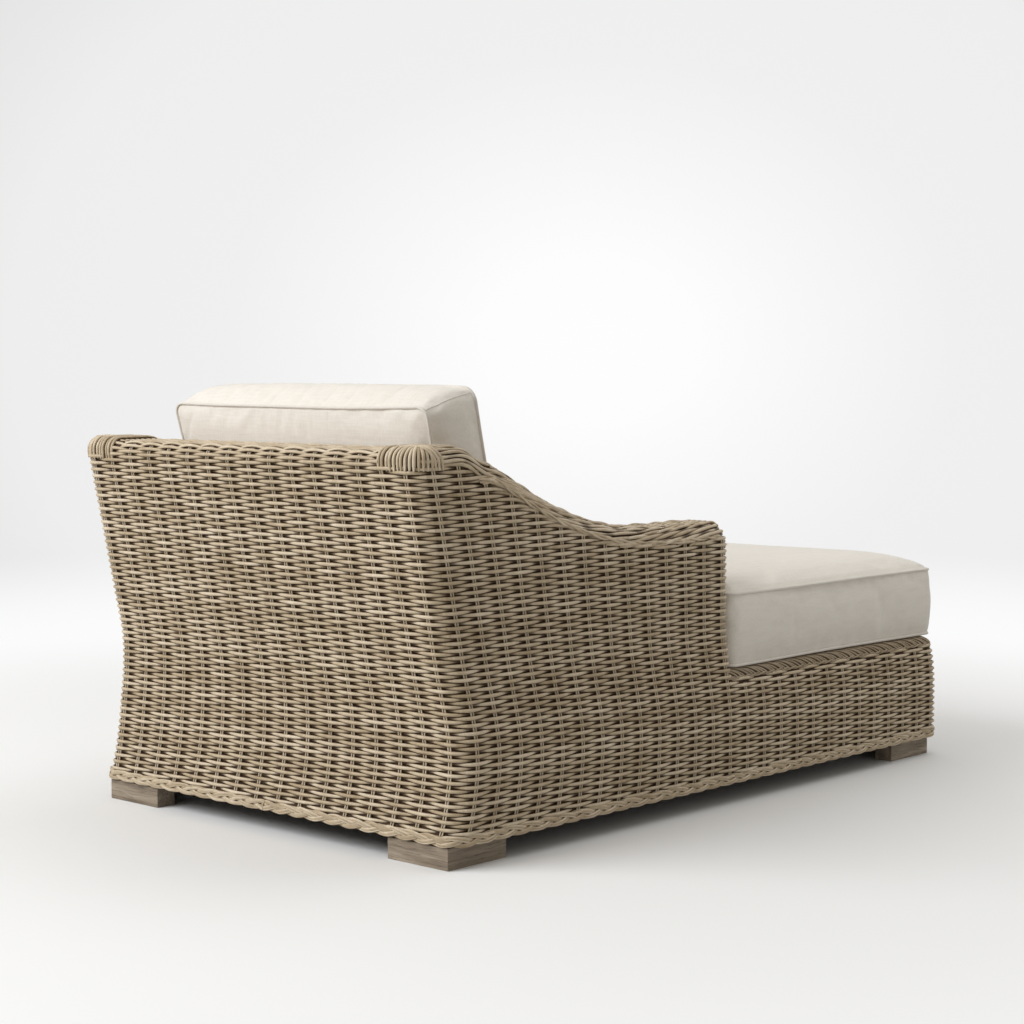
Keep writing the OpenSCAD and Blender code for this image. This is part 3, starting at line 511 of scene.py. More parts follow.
def smooth_path(p, n, reach=5):
    weights, pad = np.ones(reach) / reach, reach // 2

    def soft(v):
        return np.stack([np.convolve(np.pad(c, pad, mode="edge"), weights, "valid") for c in v.T], -1)

    q = soft(p)
    q[0], q[-1] = p[0], p[-1]
    return q, soft(n)


# The lower edge of the arm's roll. A row that reaches it climbs on over the roll: CLIMB is how far
# forward it comes while it turns by CLIMB_TURN. Over the level roll a strand turns by RISE_BY from
# RISE_FROM, in degrees, and passes the edge LEAD behind its front end. Such strands lie LEVEL_GAP
# apart, and those added between the climbing rows about BETWEEN_GAP
EDGE_S = np.linspace(0, CREST_LEN, 900)
EDGE_Y, EDGE_Z = (at - ARM_ROLL * out for at, out in zip(crest_at(EDGE_S)[:2], crest_at(EDGE_S)[2:]))
CLIMB, CLIMB_TURN = 390.0, math.radians(104)
RISE_FROM, RISE_BY = -16, 120
LEAD = CLIMB * (1 + RISE_FROM / RISE_BY)
LEVEL_GAP, BETWEEN_GAP = 43.0, 46.0


def slope_start(z):
    """Length along the crest where a row reaches the sloping edge, if it does."""
    ok = (EDGE_Y > SWOOP_Y - 190) & (EDGE_Z >= z)
    return EDGE_S[ok][0] if ROLL_Z <= z <= EDGE_Z.max() - 0.5 and ok.any() else None


def slope_row(piece, z, parity, tone, goes_on, inner):
    """A row of the arm's side that reaches the sloping edge, and then climbs over the roll or tucks in."""
    level = min(z, CAP_Z)
    face = inner_y(min(z, INNER_START[1])) if inner else rear_y(level) - CORNER_R
    s0, f0 = slope_start(z), 0.0
    if z > EDGE_Z.max() - 0.5:
        s0, f0, y0 = CREST_LEN, math.asin(np.clip((z - SHOULDER_Z) / ARM_ROLL, 0, 1)), CAP_Y + 16
    elif s0 is not None:
        y0 = float(np.interp(s0, EDGE_S, EDGE_Y)) + 6
    if s0 is None or y0 > face - 6:
        return
    part = (y0 - Y0) / (face - Y0)
    ua, ub = (-3 - part * 12, -15.0) if inner else (part * 13, OVERLAP_U)
    u = np.linspace(ub, ua, max(3, int(abs(ua - ub) / STEP) + 1))
    p, n = shell(u, np.full(len(u), float(level)), False)
    p[:, 2] += z - level
    out, a, b, deep = swing(np.cos(np.pi * (u + parity)))
    turn = CLIMB_TURN - f0 if goes_on else math.radians(14)
    t = np.linspace(0, 1, max(4, int(turn / CLIMB_TURN * 30) + 2))[1:]
    s, f = s0 - turn / CLIMB_TURN * CLIMB * t - 6, f0 + turn * t
    s, f = s[s > 20], f[s > 20]
    if len(s) > 1:
        low, thick, wide, shade_weight = swing(0.15 + 0.85 * np.sin(s / 52.0 * math.pi + 7 * tone))
        low = 0.9 * low - (0 if goes_on else 1) * np.linspace(0, 3.5, len(s))
        q, m = mirrored(*roll_point(s, f, inner=inner))
        p, n = np.concatenate([p, q]), np.concatenate([n, m])
        out, deep = np.concatenate([out, low]), np.concatenate([deep, shade_weight])
        a, b = np.concatenate([a, thick]), np.concatenate([b, wide])
    p, n = smooth_path(p + out[:, None] * n, n)
    piece.add(p, n, a, b, tone, (0, 0.4), deep)


def border_rows(piece, us, parity):
    """Rows that go on over the roll of the seat's border."""
    i = int((ROW_Z < RAIL_Z).sum())
    z = ROW_Z[i - 1] + ROW
    while z < RAIL_Z + 0.52 * BORDER_ROLL:
        lean = math.asin(max(0.0, (z - RAIL_Z) / BORDER_ROLL))
        roll = (BORDER_ROLL * (1 - math.cos(lean)), lean)
        woven_row(piece, us, z, True, i + parity, ROW_TONE[i], roll)
        z, i = z + ROW, i + 1


def edge_height(y):
    return float(np.interp(y, EDGE_Y[EDGE_Y > 0], EDGE_Z[EDGE_Y > 0]))


def side_top(u):
    y = Y0 + u / 13 * (float(rear_y(600)) - CORNER_R - Y0)
    top = ROLL_Z if y <= 0 else edge_height(y) if y < CAP_Y else CAP_Z
    return np.linspace(FOOT_H + 4, top + 3, max(3, int((top - FOOT_H) / 20)))


def inner_top(u):
    y = Y0 + (-3 - u) / 12 * (float(inner_y(450)) - Y0)
    return np.linspace(DECK_TOP, edge_height(y) if y > 0 else ROLL_Z, 16)


BASE_STAKE = np.linspace(FOOT_H + 4, RAIL_Z + 2, 12)


def weave_half(side):
    """One side of the base and its arm, made as the left one and mirrored for the right one."""
    outer, inner, shade = Strands(), Strands(), Strands()
    mirror = side == "right"
    above = np.arange(ROW_Z[-1] + ROW, CAP_LEVEL - BACK_ROLL + 4, ROW)
    for i, z in enumerate(np.concatenate([ROW_Z, above])):
        k, tone = i + mirror, ROW_TONE[i]
        if z < RAIL_Z:
            woven_row(outer, lines(-OVERLAP_U, OVERLAP_U), z, True, k, tone)
        elif z < ROLL_Z:
            woven_row(outer, lines(-3 if z < DECK_TOP else -2.5, OVERLAP_U), z, False, k, tone)
            if z > DECK_TOP:
                woven_row(inner, lines(-15, -2.5), z, False, k, tone)
        else:
            for piece in (outer, inner) if z <= ROW_Z[-1] else (outer,):
                slope_row(piece, z, k, tone, i % 3 == 0 or z > SHOULDER_Z - 12, piece is inner)
    # strands that fill the fan where the shoulder turns down
    t = np.linspace(0, 1, 30)
    for back in (20.0, 42.0):
        for piece in (outer, inner):
            s, f = CREST_LEN - back - CLIMB * t, np.radians(-6 + 108 * t)
            q, m = mirrored(*roll_point(s, f, inner=piece is inner))
            q, m = smooth_path(q - 2.8 * m, m)
            piece.add(q, m, 2.8, 3.3, rng.random(), (0.4, 0.4))
    border_rows(outer, lines(-OVERLAP_U, 0), mirror)
    stakes(outer, range(0, 14), side_top, False)
    stakes(outer, [-1, -2], np.linspace(RAIL_Z, ARM_H - 16, 20), False)
    stakes(outer, range(-13, 0), BASE_STAKE, True)
    stakes(inner, range(-14, -2), inner_top, False)
    shade.sheet(grid_of(np.linspace(-MIDDLE_U, MIDDLE_U, 170), np.linspace(FOOT_H + 1, RAIL_Z, 10), True))
    shade.sheet(grid_of(np.linspace(-15, MIDDLE_U, 150), np.linspace(RAIL_Z, ROLL_Z, 14), False))
    # the shade above the level of the arm, up to the sloping edge
    for inside in (False, True):
        rows = []
        for z in np.linspace(ROLL_Z, INNER_START[1] if inside else CAP_Z, 12):
            face = float(inner_y(z)) if inside else float(rear_y(z)) - CORNER_R
            start = EDGE_Y[(EDGE_Z >= min(z, SHOULDER_Z)) & (EDGE_Y > 0)][0]
            part = (min(CAP_Y, start, face - 2) - Y0) / (face - Y0)
            us = np.concatenate([np.linspace(part * 13, 13, 14), np.linspace(13.2, MIDDLE_U, 16)])
            if inside:
                us = np.linspace(-3 - part * 12, -15, 16)
            rows.append(grid_of(us, [z], False)[0])
        shade.sheet(rows)
    nodes = [part + side for part in ("weave_arm_outer_", "weave_base_", "weave_arm_front_")]
    outer.make("weave_side_" + side, CANE, "frame", *nodes, slot="woven_cane", mirror=mirror)
    node = "weave_arm_inner_" + side
    inner.make("weave_inner_" + side, CANE_INNER_SHADED, "frame", node, slot="woven_cane", mirror=mirror)
    shade.make("weave_shade_" + side, SHADE, "frame", slot="woven_cane", mirror=mirror)


def weave_ends():
    """The rear face and the foot end. Their rows overlap those of the sides by half a stake's step."""
    rear, foot_end = Strands(), Strands()
    across = lines(-29.7, -13.3)
    for i, z in enumerate(ROW_Z):
        woven_row(rear, lines(13.3, 29.7), z, False, i, ROW_TONE[i])
        if z < RAIL_Z:
            woven_row(foot_end, across, z, True, i, ROW_TONE[i])
    border_rows(foot_end, across, 0)
    stakes(rear, range(14, 30), np.linspace(FOOT_H + 4, CAP_Z + 4, 34), False)
    stakes(foot_end, range(-29, -13), BASE_STAKE, True)
    rear.make("weave_rear", CANE, "frame", "weave_back_outer", slot="woven_cane")
    foot_end.make("weave_foot_end", CANE, "frame", "weave_base_foot", slot="woven_cane")


def nose_wrap(q, m, f):
    """Carries a strand that has come down to the nose on round the front of the arm."""
    g = np.linspace(f, math.pi / 2, 9)[1:]
    z, d = np.full(8, q[-1, 2]), ARM_ROLL * (1 - np.sin(g))
    y = nose_front(z, d)
    ring = np.stack([y - NOSE_C[0], z - NOSE_C[1]], -1) / (NOSE_R - d)[:, None]
    wrap = np.stack([HALF - ARM_ROLL + ARM_ROLL * np.cos(g), y, z], -1)
    wrap = np.concatenate([wrap, wrap[-1:] - [[(HALF - ARM_IN) / 2 - ARM_ROLL, 0, 0]]])
    turn = np.column_stack([np.cos(g), np.sin(g)[:, None] * ring])
    return np.concatenate([q, wrap]), np.concatenate([m, turn, turn[-1:]])


def arm_top(side):
    """Flat rows along the crest, and slanting strands over the two rolled edges."""
    piece, shade = Strands(), Strands()
    end = CREST_LEN - 4
    s = np.arange(NOSE_R * math.radians(32), end, 8.7)
    y, z, ny, nz = crest_at(s)
    n = np.stack([np.zeros(len(s)), ny, nz], -1)
    for i, x in enumerate(np.arange(ARM_IN + ARM_ROLL - 8, HALF - ARM_ROLL + 9, ROW)):
        tone = rng.random()
        out, a, b, deep = swing(np.cos(np.pi * (s / PAIR + i)))
        p = np.stack([x + 0.5 * np.sin(s / 37 + 30 * tone), y, z], -1) + (out * 0.9)[:, None] * n
        piece.add(p, n, a, b, tone, (0.6, 0.6), deep)
    # stakes across the top in pairs
    x = np.linspace(ARM_IN + 18, HALF - 18, 10)
    for at in np.arange(PAIR, end, PAIR):
        for gap in (-2.7, 2.7):
            y, z, ny, nz = crest_at(at + gap)
            q = np.stack(np.broadcast_arrays(x, y - DEEP * ny, z - DEEP * nz), -1)
            piece.add(q, np.tile([0, ny, nz], (10, 1)), 1.8, 1.8, 0.7)
    climbs = sorted(s0 for s0 in map(slope_start, ROW_Z[::3]) if s0 is not None)
    level = np.arange(-340, climbs[0] - LEAD - 20, LEVEL_GAP)
    known = [level[-1] + LEAD] + climbs
    for inner in (False, True):
        # strands that rise over the level roll towards the nose, and then wrap round it
        for i, start in enumerate(level):
            tone = rng.random()
            t = np.linspace(0, 1, 36)
            sl, f = start + CLIMB * (1 - t), np.radians(RISE_FROM + RISE_BY * t)
            sl, f = sl[sl > NOSE_S], f[sl > NOSE_S]
            if len(sl) < 3:
                continue
            wave = np.cos(np.pi * (sl / PAIR + i))
            q, m = roll_point(sl, f)
            reached = sl[-1] < NOSE_S + CLIMB / 35 * 1.5 and math.radians(2) < f[-1] < math.radians(84)
            if reached:
                q, m = nose_wrap(q, m, f[-1])
                wave = np.concatenate([wave, np.cos(np.arange(9) / 2.6 + i * math.pi)])
            out, a, b, deep = swing(0.1 + 0.9 * wave)
            q, m = smooth_path(q + (out * 0.85)[:, None] * m, m)
            if inner:
                q, m = turned_in(q, m)
            piece.add(q, m, a, b + 0.2, tone, (0.5, 1.0 if reached else 0.5), deep)
        # strands between the rows that climb from the sloping edge, where they lie far apart
        for low, high in zip(known, known[1:]):
            count = int(round((high - low) / BETWEEN_GAP))
            for k in range(1, count):
                t = np.linspace(0, 1, 32)
                sl = low + (high - low) * k / count - 6 - CLIMB * t
                sl = sl[sl > NOSE_S]
                q, m = roll_point(sl, np.radians(-12 + 116 * t[:len(sl)]))
                out, a, b, deep = swing(0.15 + 0.85 * np.sin(sl / 52.0 * math.pi + 3 * k))
                q, m = smooth_path(q + (out * 0.9)[:, None] * m, m)
                if inner:
                    q, m = turned_in(q, m)
                piece.add(q, m, a, b, rng.random(), (0.5, 0.5), deep)
        # two strands twisted along the edge under them, from the nose to the cap
        sl = np.arange(NOSE_S * 0.55, CREST_LEN - 6, 7.0)
        for k in range(2):
            g = sl / 17.0 + k * math.pi
            out = 1.9 * np.cos(g) - 1.9 - 1.6 * ease((climbs[0] - sl) / 120.0)
            q, m = roll_point(sl, np.radians(5 + 4.6 * np.sin(g)), out, inner)
            piece.add(q, m, 2.4, 2.6, 0.3 + 0.4 * k, (0.5, 0.5))
    f = np.radians(np.linspace(0, 90, 6))
    rolls = [roll_point(np.full(6, v), f, -8.0) for v in np.linspace(0, CREST_LEN, 60)]
    shade.sheet([np.concatenate([p, turned_in(p, n)[0][::-1]]) for p, n in rolls])
    mirror = side == "left"
    node = "weave_arm_top_" + side
    piece.make("arm_top_" + side, CANE, "frame", node, slot="woven_cane", mirror=mirror)
    shade.make("arm_top_shade_" + side, SHADE, "frame", mirror=mirror, slot="woven_cane")


BACK_ROUND = np.vstack([
    arc_points(ROLL_C, BACK_ROLL, -math.degrees(RAKE), 90, 12),
    arc_points(INNER_C, BACK_ROLL, 90, 180 - math.degrees(LEAN), 10),
])
BACK_S = lengths(BACK_ROUND[:, :2])
BACK_SLOPE = (INNER_START[1] - DECK_TOP) / math.cos(LEAN)


def on_back_top(s):
    return [np.interp(s, BACK_S, BACK_ROUND[:, k]) for k in range(4)]


def on_back_inner(s):
    z = INNER_START[1] - s * math.cos(LEAN)
    return inner_y(z), z, 0 * z - math.cos(LEAN), 0 * z + math.sin(LEAN)


def back_weave():
    """Rows over the back's rolled top and down its inner face."""
    top, inner, shade = Strands(), Strands(), Strands()
    step, reach = 61.07, ARM_IN + 16
    x = np.linspace(-reach, reach, 2 * round(reach / step * 7) + 1)
    for piece, at, span, first, phase, drift, r, stake_tone, counts in (
        (top, on_back_top, (0, BACK_S[-1]), 0.7, 1.5 + len(ROW_Z), 0.0, 1.65, 0.85, (20, 24)),
        (inner, on_back_inner, (BACK_SLOPE, 0), 0.5, 0.5, 0.35, 1.75, 0.6, (12, 4)),
    ):
        for i, s in enumerate(np.arange(ROW * first, max(span), ROW)):
            tone = rng.random()
            y, z, ny, nz = at(s)
            out, a, b, deep = swing(np.cos(np.pi * (x / step + phase + i)))
            p = np.stack([x, y + out * ny, z + out * nz + drift * np.sin(x / 66 + 40 * tone)], -1)
            piece.add(p, np.tile([0.0, ny, nz], (len(x), 1)), a, b, tone, deep=deep)
        y, z, ny, nz = at(np.linspace(*span, counts[0]))
        for k in range(-6, 6):
            for gap in (-3.0, 3.0):
                px = np.full(len(y), (k + 0.5) * step + gap)
                p = np.stack([px, y - DEEP * ny, z - DEEP * nz], -1)
                piece.add(p, np.stack([0 * px, ny, nz], -1), r, r, stake_tone)
        y, z, ny, nz = at(np.linspace(*span, counts[1]))
        edge = np.stack([np.full(len(y), ARM_IN), y - SHEET * ny, z - SHEET * nz], -1)
        shade.sheet(np.stack([edge * [-1, 1, 1], edge], 1))
    top.make("back_top", CANE, "frame", "weave_back_top", slot="woven_cane")
    inner.make("back_inner", CANE_INNER_SHADED, "frame", "weave_back_inner", slot="woven_cane")
    shade.make("back_shade", SHADE, "frame", slot="woven_cane")


def cap_top(y):
    """Height of the wrapped strands: level over the cap, then down onto the crest of the arm."""
    y = np.asarray(y, float)
    fall = (CAP_LEVEL - SHOULDER_H) * ease((CAP_Y + 45 - y) / 105.0)
    return np.where(y > CAP_Y - 60, CAP_LEVEL - fall, np.interp(y, CREST[:, 0], CREST[:, 1]))


def cap_bend(y):
    """Radius of the outer edge, from the back's roll to the arm's."""
    return BACK_ROLL + (ARM_ROLL - BACK_ROLL) * ease((CAP_Y + 20 - y) / 50.0)


def cap_strand(g, x_back, x_front, y_stop, depth):
    """One strand that arches from the rear face over the cap. It turns over the edge by the angles g."""
    r = BACK_ROLL
    ys = np.arange(ROLL_C[0] - 9, y_stop, -9.0)
    y = np.concatenate([[float(rear_y(CAP_Z - 6))], ROLL_C[0] + r * np.cos(g), ys])
    z = np.concatenate([[CAP_Z - 6], CAP_LEVEL - r + r * np.sin(g), cap_top(ys)])
    ny = np.concatenate([[1.0], np.cos(g), np.zeros(len(ys))])
    nz = np.concatenate([[0.0], np.sin(g), np.ones(len(ys))])
    run = np.clip((y[0] - y) / (y[0] - (CAP_Y - 20)), 0, 1)
    x = x_back + (x_front - x_back) * run
    over = np.clip(x - (HALF - r), 0, r - 1)
    turn = np.clip(x - (HALF - CORNER_R), 0, CORNER_R - 1)
    y = y - (CORNER_R - np.sqrt(CORNER_R**2 - turn**2)) * np.clip(ny, 0, 1)
    n = unit(np.stack([over / r * 0.8, ny, nz], -1))
    sink = np.full(len(y), depth)
    sink[-5:] -= np.linspace(0, 3.5, 5)
    p = np.stack([x, y, z - r + np.sqrt(r**2 - over**2)], -1) + sink[:, None] * n
    return smooth_path(p, n, 3)


def back_cap(side):
    """The wrapped cap at one end of the back's top, and how it runs on into the arm."""
    piece, shade = Strands(), Strands()
    r, top = BACK_ROLL, CAP_LEVEL
    centre = np.array([HALF - CORNER_R, REAR - CORNER_R])
    arch = np.radians(np.linspace(-4, 90, 10))
    for i, x in enumerate(np.arange(ARM_IN + 15, centre[0] - 2, 9.8)):
        stop = CAP_Y - 12 - 130 * (i / 10) ** 2 - 24 * math.sin(i * 2.3)
        p, n = cap_strand(arch, x, x + 15, stop, -2.5 + 1.2 * math.sin(i * 2.4))
        piece.add(p, n, 3.0, 3.6, rng.random(), (0.6, 0.5))
    # strands that fan round the rounded corner, and then run on with the arches
    g = np.radians(np.linspace(-10, 90, 11))
    for i, phi in enumerate(np.radians(np.arange(6, 90, 13.5))):
        e = np.array([math.sin(phi), math.cos(phi)])
        turn = np.concatenate([[1.0], np.cos(g)])
        flat = centre + (CORNER_R - r + r * turn)[:, None] * e
        n = np.column_stack([turn[:, None] * e, np.concatenate([[0], np.sin(g)])])
        t = np.linspace(0, 1, 8 + i % 2)[1:, None]
        step = unit((1 - t) * -e + t * np.array([0.15, -1.0]))
        flat = np.concatenate([flat, flat[-1] + np.cumsum(step * (6.5 + 0.6 * i), axis=0)])
        n = np.concatenate([n, np.tile([0, 0, 1.0], (len(step), 1))])
        z = np.concatenate([[CAP_Z - 5], top - r + r * np.sin(g), np.full(len(step), top)])
        sink = -2.1 - 1.6 * (i % 2) - 4.0 * np.clip(np.arange(len(z)) / 10 - 1.05, 0, 1)
        p, n = smooth_path(np.column_stack([flat, z]) + sink[:, None] * n, n, 3)
        piece.add(p, n, 3.0, 3.5, rng.random(), (0.5, 0.5))
    # three strands that turn down over the outer edge behind them
    f = np.radians(np.concatenate([np.full(5, 90), np.linspace(90, -4, 14)]))
    into = np.concatenate([np.linspace(46, 0, 6)[:5], np.zeros(14)])
    for i in range(3):
        y = centre[1] - 5 - 8.8 * i + 15 * np.sin(f) + 0.15 * into
        z = top - r + r * np.sin(f)
        z[-1] = CAP_Z - 4
        n = np.stack([np.cos(f), 0 * f, np.sin(f)], -1)
        p = np.stack([HALF - r + r * np.cos(f) - into, y, z], -1)
        p, n = smooth_path(p - (1.4 - 0.5 * i) * n, n, 3)
        piece.add(p, n, 3.0, 3.6, rng.random(), (0.5, 0.6))
    # ropes that run on from them along the outer edge and down the slope of the arm, and then
    # more of them over the inner half, from the inner face of the back
    s1 = float(np.interp(CAP_Y - 56, CREST[:, 0], CREST_S)) - 14
    for inside, starts in ((False, range(-27, 96, 20)), (True, range(-26, 92, 12))):
        for i, start in enumerate(starts):
            begin, step = (CAP_Y + 14, -8.0) if inside else (centre[1] - 2 - 3 * i, -10.0)
            y = np.arange(begin, CAP_Y - 52, step)
            f, bend = np.radians(start + 0.16 * (y[0] - y)), cap_bend(y)
            n = np.stack([np.cos(f), np.zeros(len(y)), np.sin(f)], -1)
            p = np.stack([HALF - bend + bend * np.cos(f), y, cap_top(y) - bend + bend * np.sin(f)], -1)
            rest = max(0.0, 103 - math.degrees(f[-1]))
            t = np.linspace(0, 1, max(3, int(rest / 3.5)))
            q, m = roll_point(s1 - CLIMB * rest / 104 * t, f[-1] + np.radians(rest) * t)
            p, n = np.concatenate([p, q]), np.concatenate([n, m])
            if inside:
                p, n = turned_in(p, n)
                wave = np.cos(np.arange(len(p)) / 4.4 + math.pi * i)
                sink = 1.3 * wave - 3.1
            else:
                wave = np.cos(np.pi * (lengths(p) / 44.0 + i))
                sink = 1.5 * wave - 2.9
                sink[-4:] -= np.linspace(0, 3, 4)
            p, n = smooth_path(p + sink[:, None] * n, n, 3)
            # each rope takes painted shade where it dips in
            piece.add(p, n, 2.9, 3.3 + 0.5 * wave, rng.random(), (0.5, 0.4), np.clip(-0.5 * wave, 0, 1))
    # short rows below them on the arm's inner side
    y = np.arange(CAP_Y + 20, CAP_Y - 70, -8.0)
    for i in range(1, 6):
        out, a, b, deep = swing(np.cos(np.pi * ((CAP_Y - y) / PAIR + i)))
        p = np.stack([ARM_IN - out, y, cap_top(y) - cap_bend(y) - 7 - ROW * i], -1)
        piece.add(p, np.tile([-1.0, 0, 0.01], (len(y), 1)), a, b, rng.random(), (0.5, 0.5), deep)
    across = np.linspace(ARM_IN - 2, HALF - 9, 12)
    shade.sheet([cap_strand(g, x, x, CAP_Y - 90, -8.0)[0] for x in across])
    mirror = side == "left"
    node = "weave_cap_" + side
    piece.make("back_cap_" + side, CANE, "frame", node, slot="wrapped_cane", mirror=mirror)
    shade.make("back_cap_shade_" + side, SHADE, "frame", slot="wrapped_cane", mirror=mirror)


BORDER_W = float(side_x(RAIL_Z))
BORDER_RUN = ARM_FRONT - (FOOT_Y + CORNER_R)
BORDER_ARC = CORNER_R * math.pi / 2
BORDER_HALF = BORDER_RUN + BORDER_ARC + BORDER_W - CORNER_R
# The border's wrapped strands lie WRAP_GAP apart and slant by WRAP_SLANT. The braid's pattern
# comes again about every PLAIT
WRAP_GAP, WRAP_SLANT, PLAIT = 13.5, 44, 150.0


def border_at(s, d):
    """On the left half of the border: s is the length from the arm, d the depth from its outer face."""
    if s < BORDER_RUN:
        return -(BORDER_W - d), ARM_FRONT - s, -1.0, 0.0
    if s < BORDER_RUN + BORDER_ARC:
        g = math.pi + (s - BORDER_RUN) / CORNER_R
        r, c, e = CORNER_R - d, math.cos(g), math.sin(g)
        return -(BORDER_W - CORNER_R) + r * c, FOOT_Y + CORNER_R + r * e, c, e
    return -(BORDER_W - CORNER_R) + (s - BORDER_RUN - BORDER_ARC), FOOT_Y + d, 0.0, -1.0


def seat_border():
    """Border under the seat cushion: strands wrapped over the roll, side by side and slanting."""
    roll, over = BORDER_ROLL, 0.62
    for side in SIDES:
        piece, shade = Strands(), Strands()
        for i, start in enumerate(np.arange(-ARM_ROLL, BORDER_HALF + WRAP_SLANT, WRAP_GAP)):
            tone, o = rng.random(), 1.2 * math.sin(i * 2.2) - 3.0
            p, n = [], []
            for t in np.linspace(0, 1, 11):
                s = start - WRAP_SLANT * t
                if not -ARM_ROLL <= s <= BORDER_HALF + 2:
                    continue
                if t < over:
                    g = math.radians(26 + 64 * t / over)
                    out, up = math.cos(g), math.sin(g)
                    d, z = roll - roll * out, RAIL_Z + roll * up
                else:
                    d, z, out, up = roll + (t - over) / (1 - over) * 12, BORDER_H, 0.0, 1.0
                x, y, nx, ny = border_at(s, d)
                p.append((x + o * out * nx, y + o * out * ny, z + o * up))
                n.append((out * nx, out * ny, up + 1e-3))
            # lower tones and painted shade stand in for the shadow that the cushion casts on the border
            piece.add(p, n, 2.3, 2.5, 0.1 + 0.7 * tone, (0.6, 0.6), 0.4 + 0.25 * tone)
        # two strands twisted together under the wrapped ones, in painted shade as well
        s = np.arange(-ARM_ROLL, BORDER_HALF, 6.0)
        base = np.array([border_at(v, roll - roll * math.cos(math.radians(27))) for v in s])
        for k in range(2):
            g = s / 9.0 + k * math.pi
            z = RAIL_Z + roll * math.sin(math.radians(27)) + 2.2 * np.sin(g)
            flat = base[:, :2] + (1.8 * np.cos(g) - 3.8)[:, None] * base[:, 2:]
            n = np.column_stack([base[:, 2:], np.full(len(s), 0.4)])
            piece.add(np.column_stack([flat, z]), n, 1.7, 1.8, 0.3 + 0.3 * k, deep=0.6)
        grid = []
        for v in np.linspace(-ARM_ROLL, BORDER_HALF, 90):
            row = []
            for g in np.radians(np.linspace(-10, 90, 7)):
                x, y, _, _ = border_at(v, roll - (roll - 7) * math.cos(g))
                row.append((x, y, RAIL_Z + (roll - 7) * math.sin(g)))
            x, y, _, _ = border_at(v, roll + 7)
            grid.append(row + [(x, y, BORDER_H - 7)])
        shade.sheet(grid)
        mirror = side == "right"
        nodes = ["seat_border_" + side] + (["seat_border_foot"] if side == "left" else [])
        piece.make("border_" + side, CANE, "frame", *nodes, slot="wrapped_cane", mirror=mirror)
        shade.make("border_shade_" + side, SHADE, "frame", slot="wrapped_cane", mirror=mirror)


def braid():
    """Braid round the bottom edge: three bundles of three strands plaited."""
    p, n = shell(np.linspace(-MIDDLE_U, MIDDLE_U, 1500), FOOT_H + BRAID_H / 2, True)
    length = lengths(p)
    s = np.arange(0, length[-1] + 3, 5.2)
    base, out = (np.stack([np.interp(s, length, v[:, k]) for k in range(3)], -1) for v in (p, n))
    out = unit(out)
    turns = round(length[-1] / PLAIT)
    for side in SIDES:
        piece, shade = Strands(), Strands()
        for k in range(3):
            g = 2 * math.pi * (s / length[-1] * turns + k / 3)
            across = np.cos(g) / np.sqrt(1 + 0.25 * np.cos(g) ** 2)
            for e in (-1, 0, 1):
                q = base + (2.7 * np.sin(2 * g) - 1.6 + 0.35 * (1 - abs(e)))[:, None] * out
                q[:, 2] += 7.0 * np.sin(g) + 3.4 * e * (0.62 + 0.25 * np.abs(across))
                piece.add(q, out, 2.1, 2.2, rng.random())
        zs = (FOOT_H + 2, FOOT_H + BRAID_H / 2, FOOT_H + BRAID_H + 2)
        shade.sheet(grid_of(np.linspace(-MIDDLE_U, MIDDLE_U, 160), zs, True, 6.5))
        mirror = side == "right"
        nodes = ["bottom_braid"] if side == "left" else []
        piece.make("braid_" + side, CANE, "frame", *nodes, slot="braid", mirror=mirror)
        shade.make("braid_shade_" + side, SHADE, "frame", slot="braid", mirror=mirror)


for side in SIDES:
    weave_half(side)
    arm_top(side)
    back_cap(side)
weave_ends()
back_weave()
seat_border()
braid()

# Cushions: closed forms with piping on their seams, swollen by a cloth simulation
CORD, SEAM_REACH = 4.5, 15.0
SEAT_LOW, SEAT_HIGH, SEAT_TOP = BORDER_H + 0.4, 438.0, 478.0
BACK_D, REAR_TOP_Z, REST_Z = 134.0, 843.0, SEAT_TOP + 0.4 + CORD
CUSHION_OFF = 24.4 / math.cos(LEAN)
REAR_TOP, REAR_LOW = (np.array([float(inner_y(z)) - CUSHION_OFF, z]) for z in (REAR_TOP_Z, REST_Z))
FRONT_TOP = REAR_TOP + BACK_D * np.array([-math.cos(LEAN), math.sin(LEAN)])
FRONT_LOW = REAR_LOW - np.array([BACK_D / math.cos(LEAN), 0])
BACK_V = float(np.linalg.norm(REAR_TOP - REAR_LOW))


def applied(obj):
    """Takes the object's modifiers into its mesh."""
    bpy.context.view_layer.update()
    mesh = bpy.data.meshes.new_from_object(obj.evaluated_get(bpy.context.evaluated_depsgraph_get()))
    obj.modifiers.clear()
    obj.data = mesh


def vertex_values(mesh, key):
    values = np.empty(len(mesh.vertices) * 3)
    mesh.vertices.foreach_get(key, values)
    return values.reshape(-1, 3)


def nearest(p, line):
    """Distance from each place to the nearest point of a line, and which point that is."""
    gap, at = np.empty(len(p)), np.empty(len(p), int)
    batch = 4000
    for a in range(0, len(p), batch):
        d = np.linalg.norm(p[a:a + batch, None] - line[None], axis=2)
        gap[a:a + batch], at[a:a + batch] = d.min(1), d.argmin(1)
    return gap, at


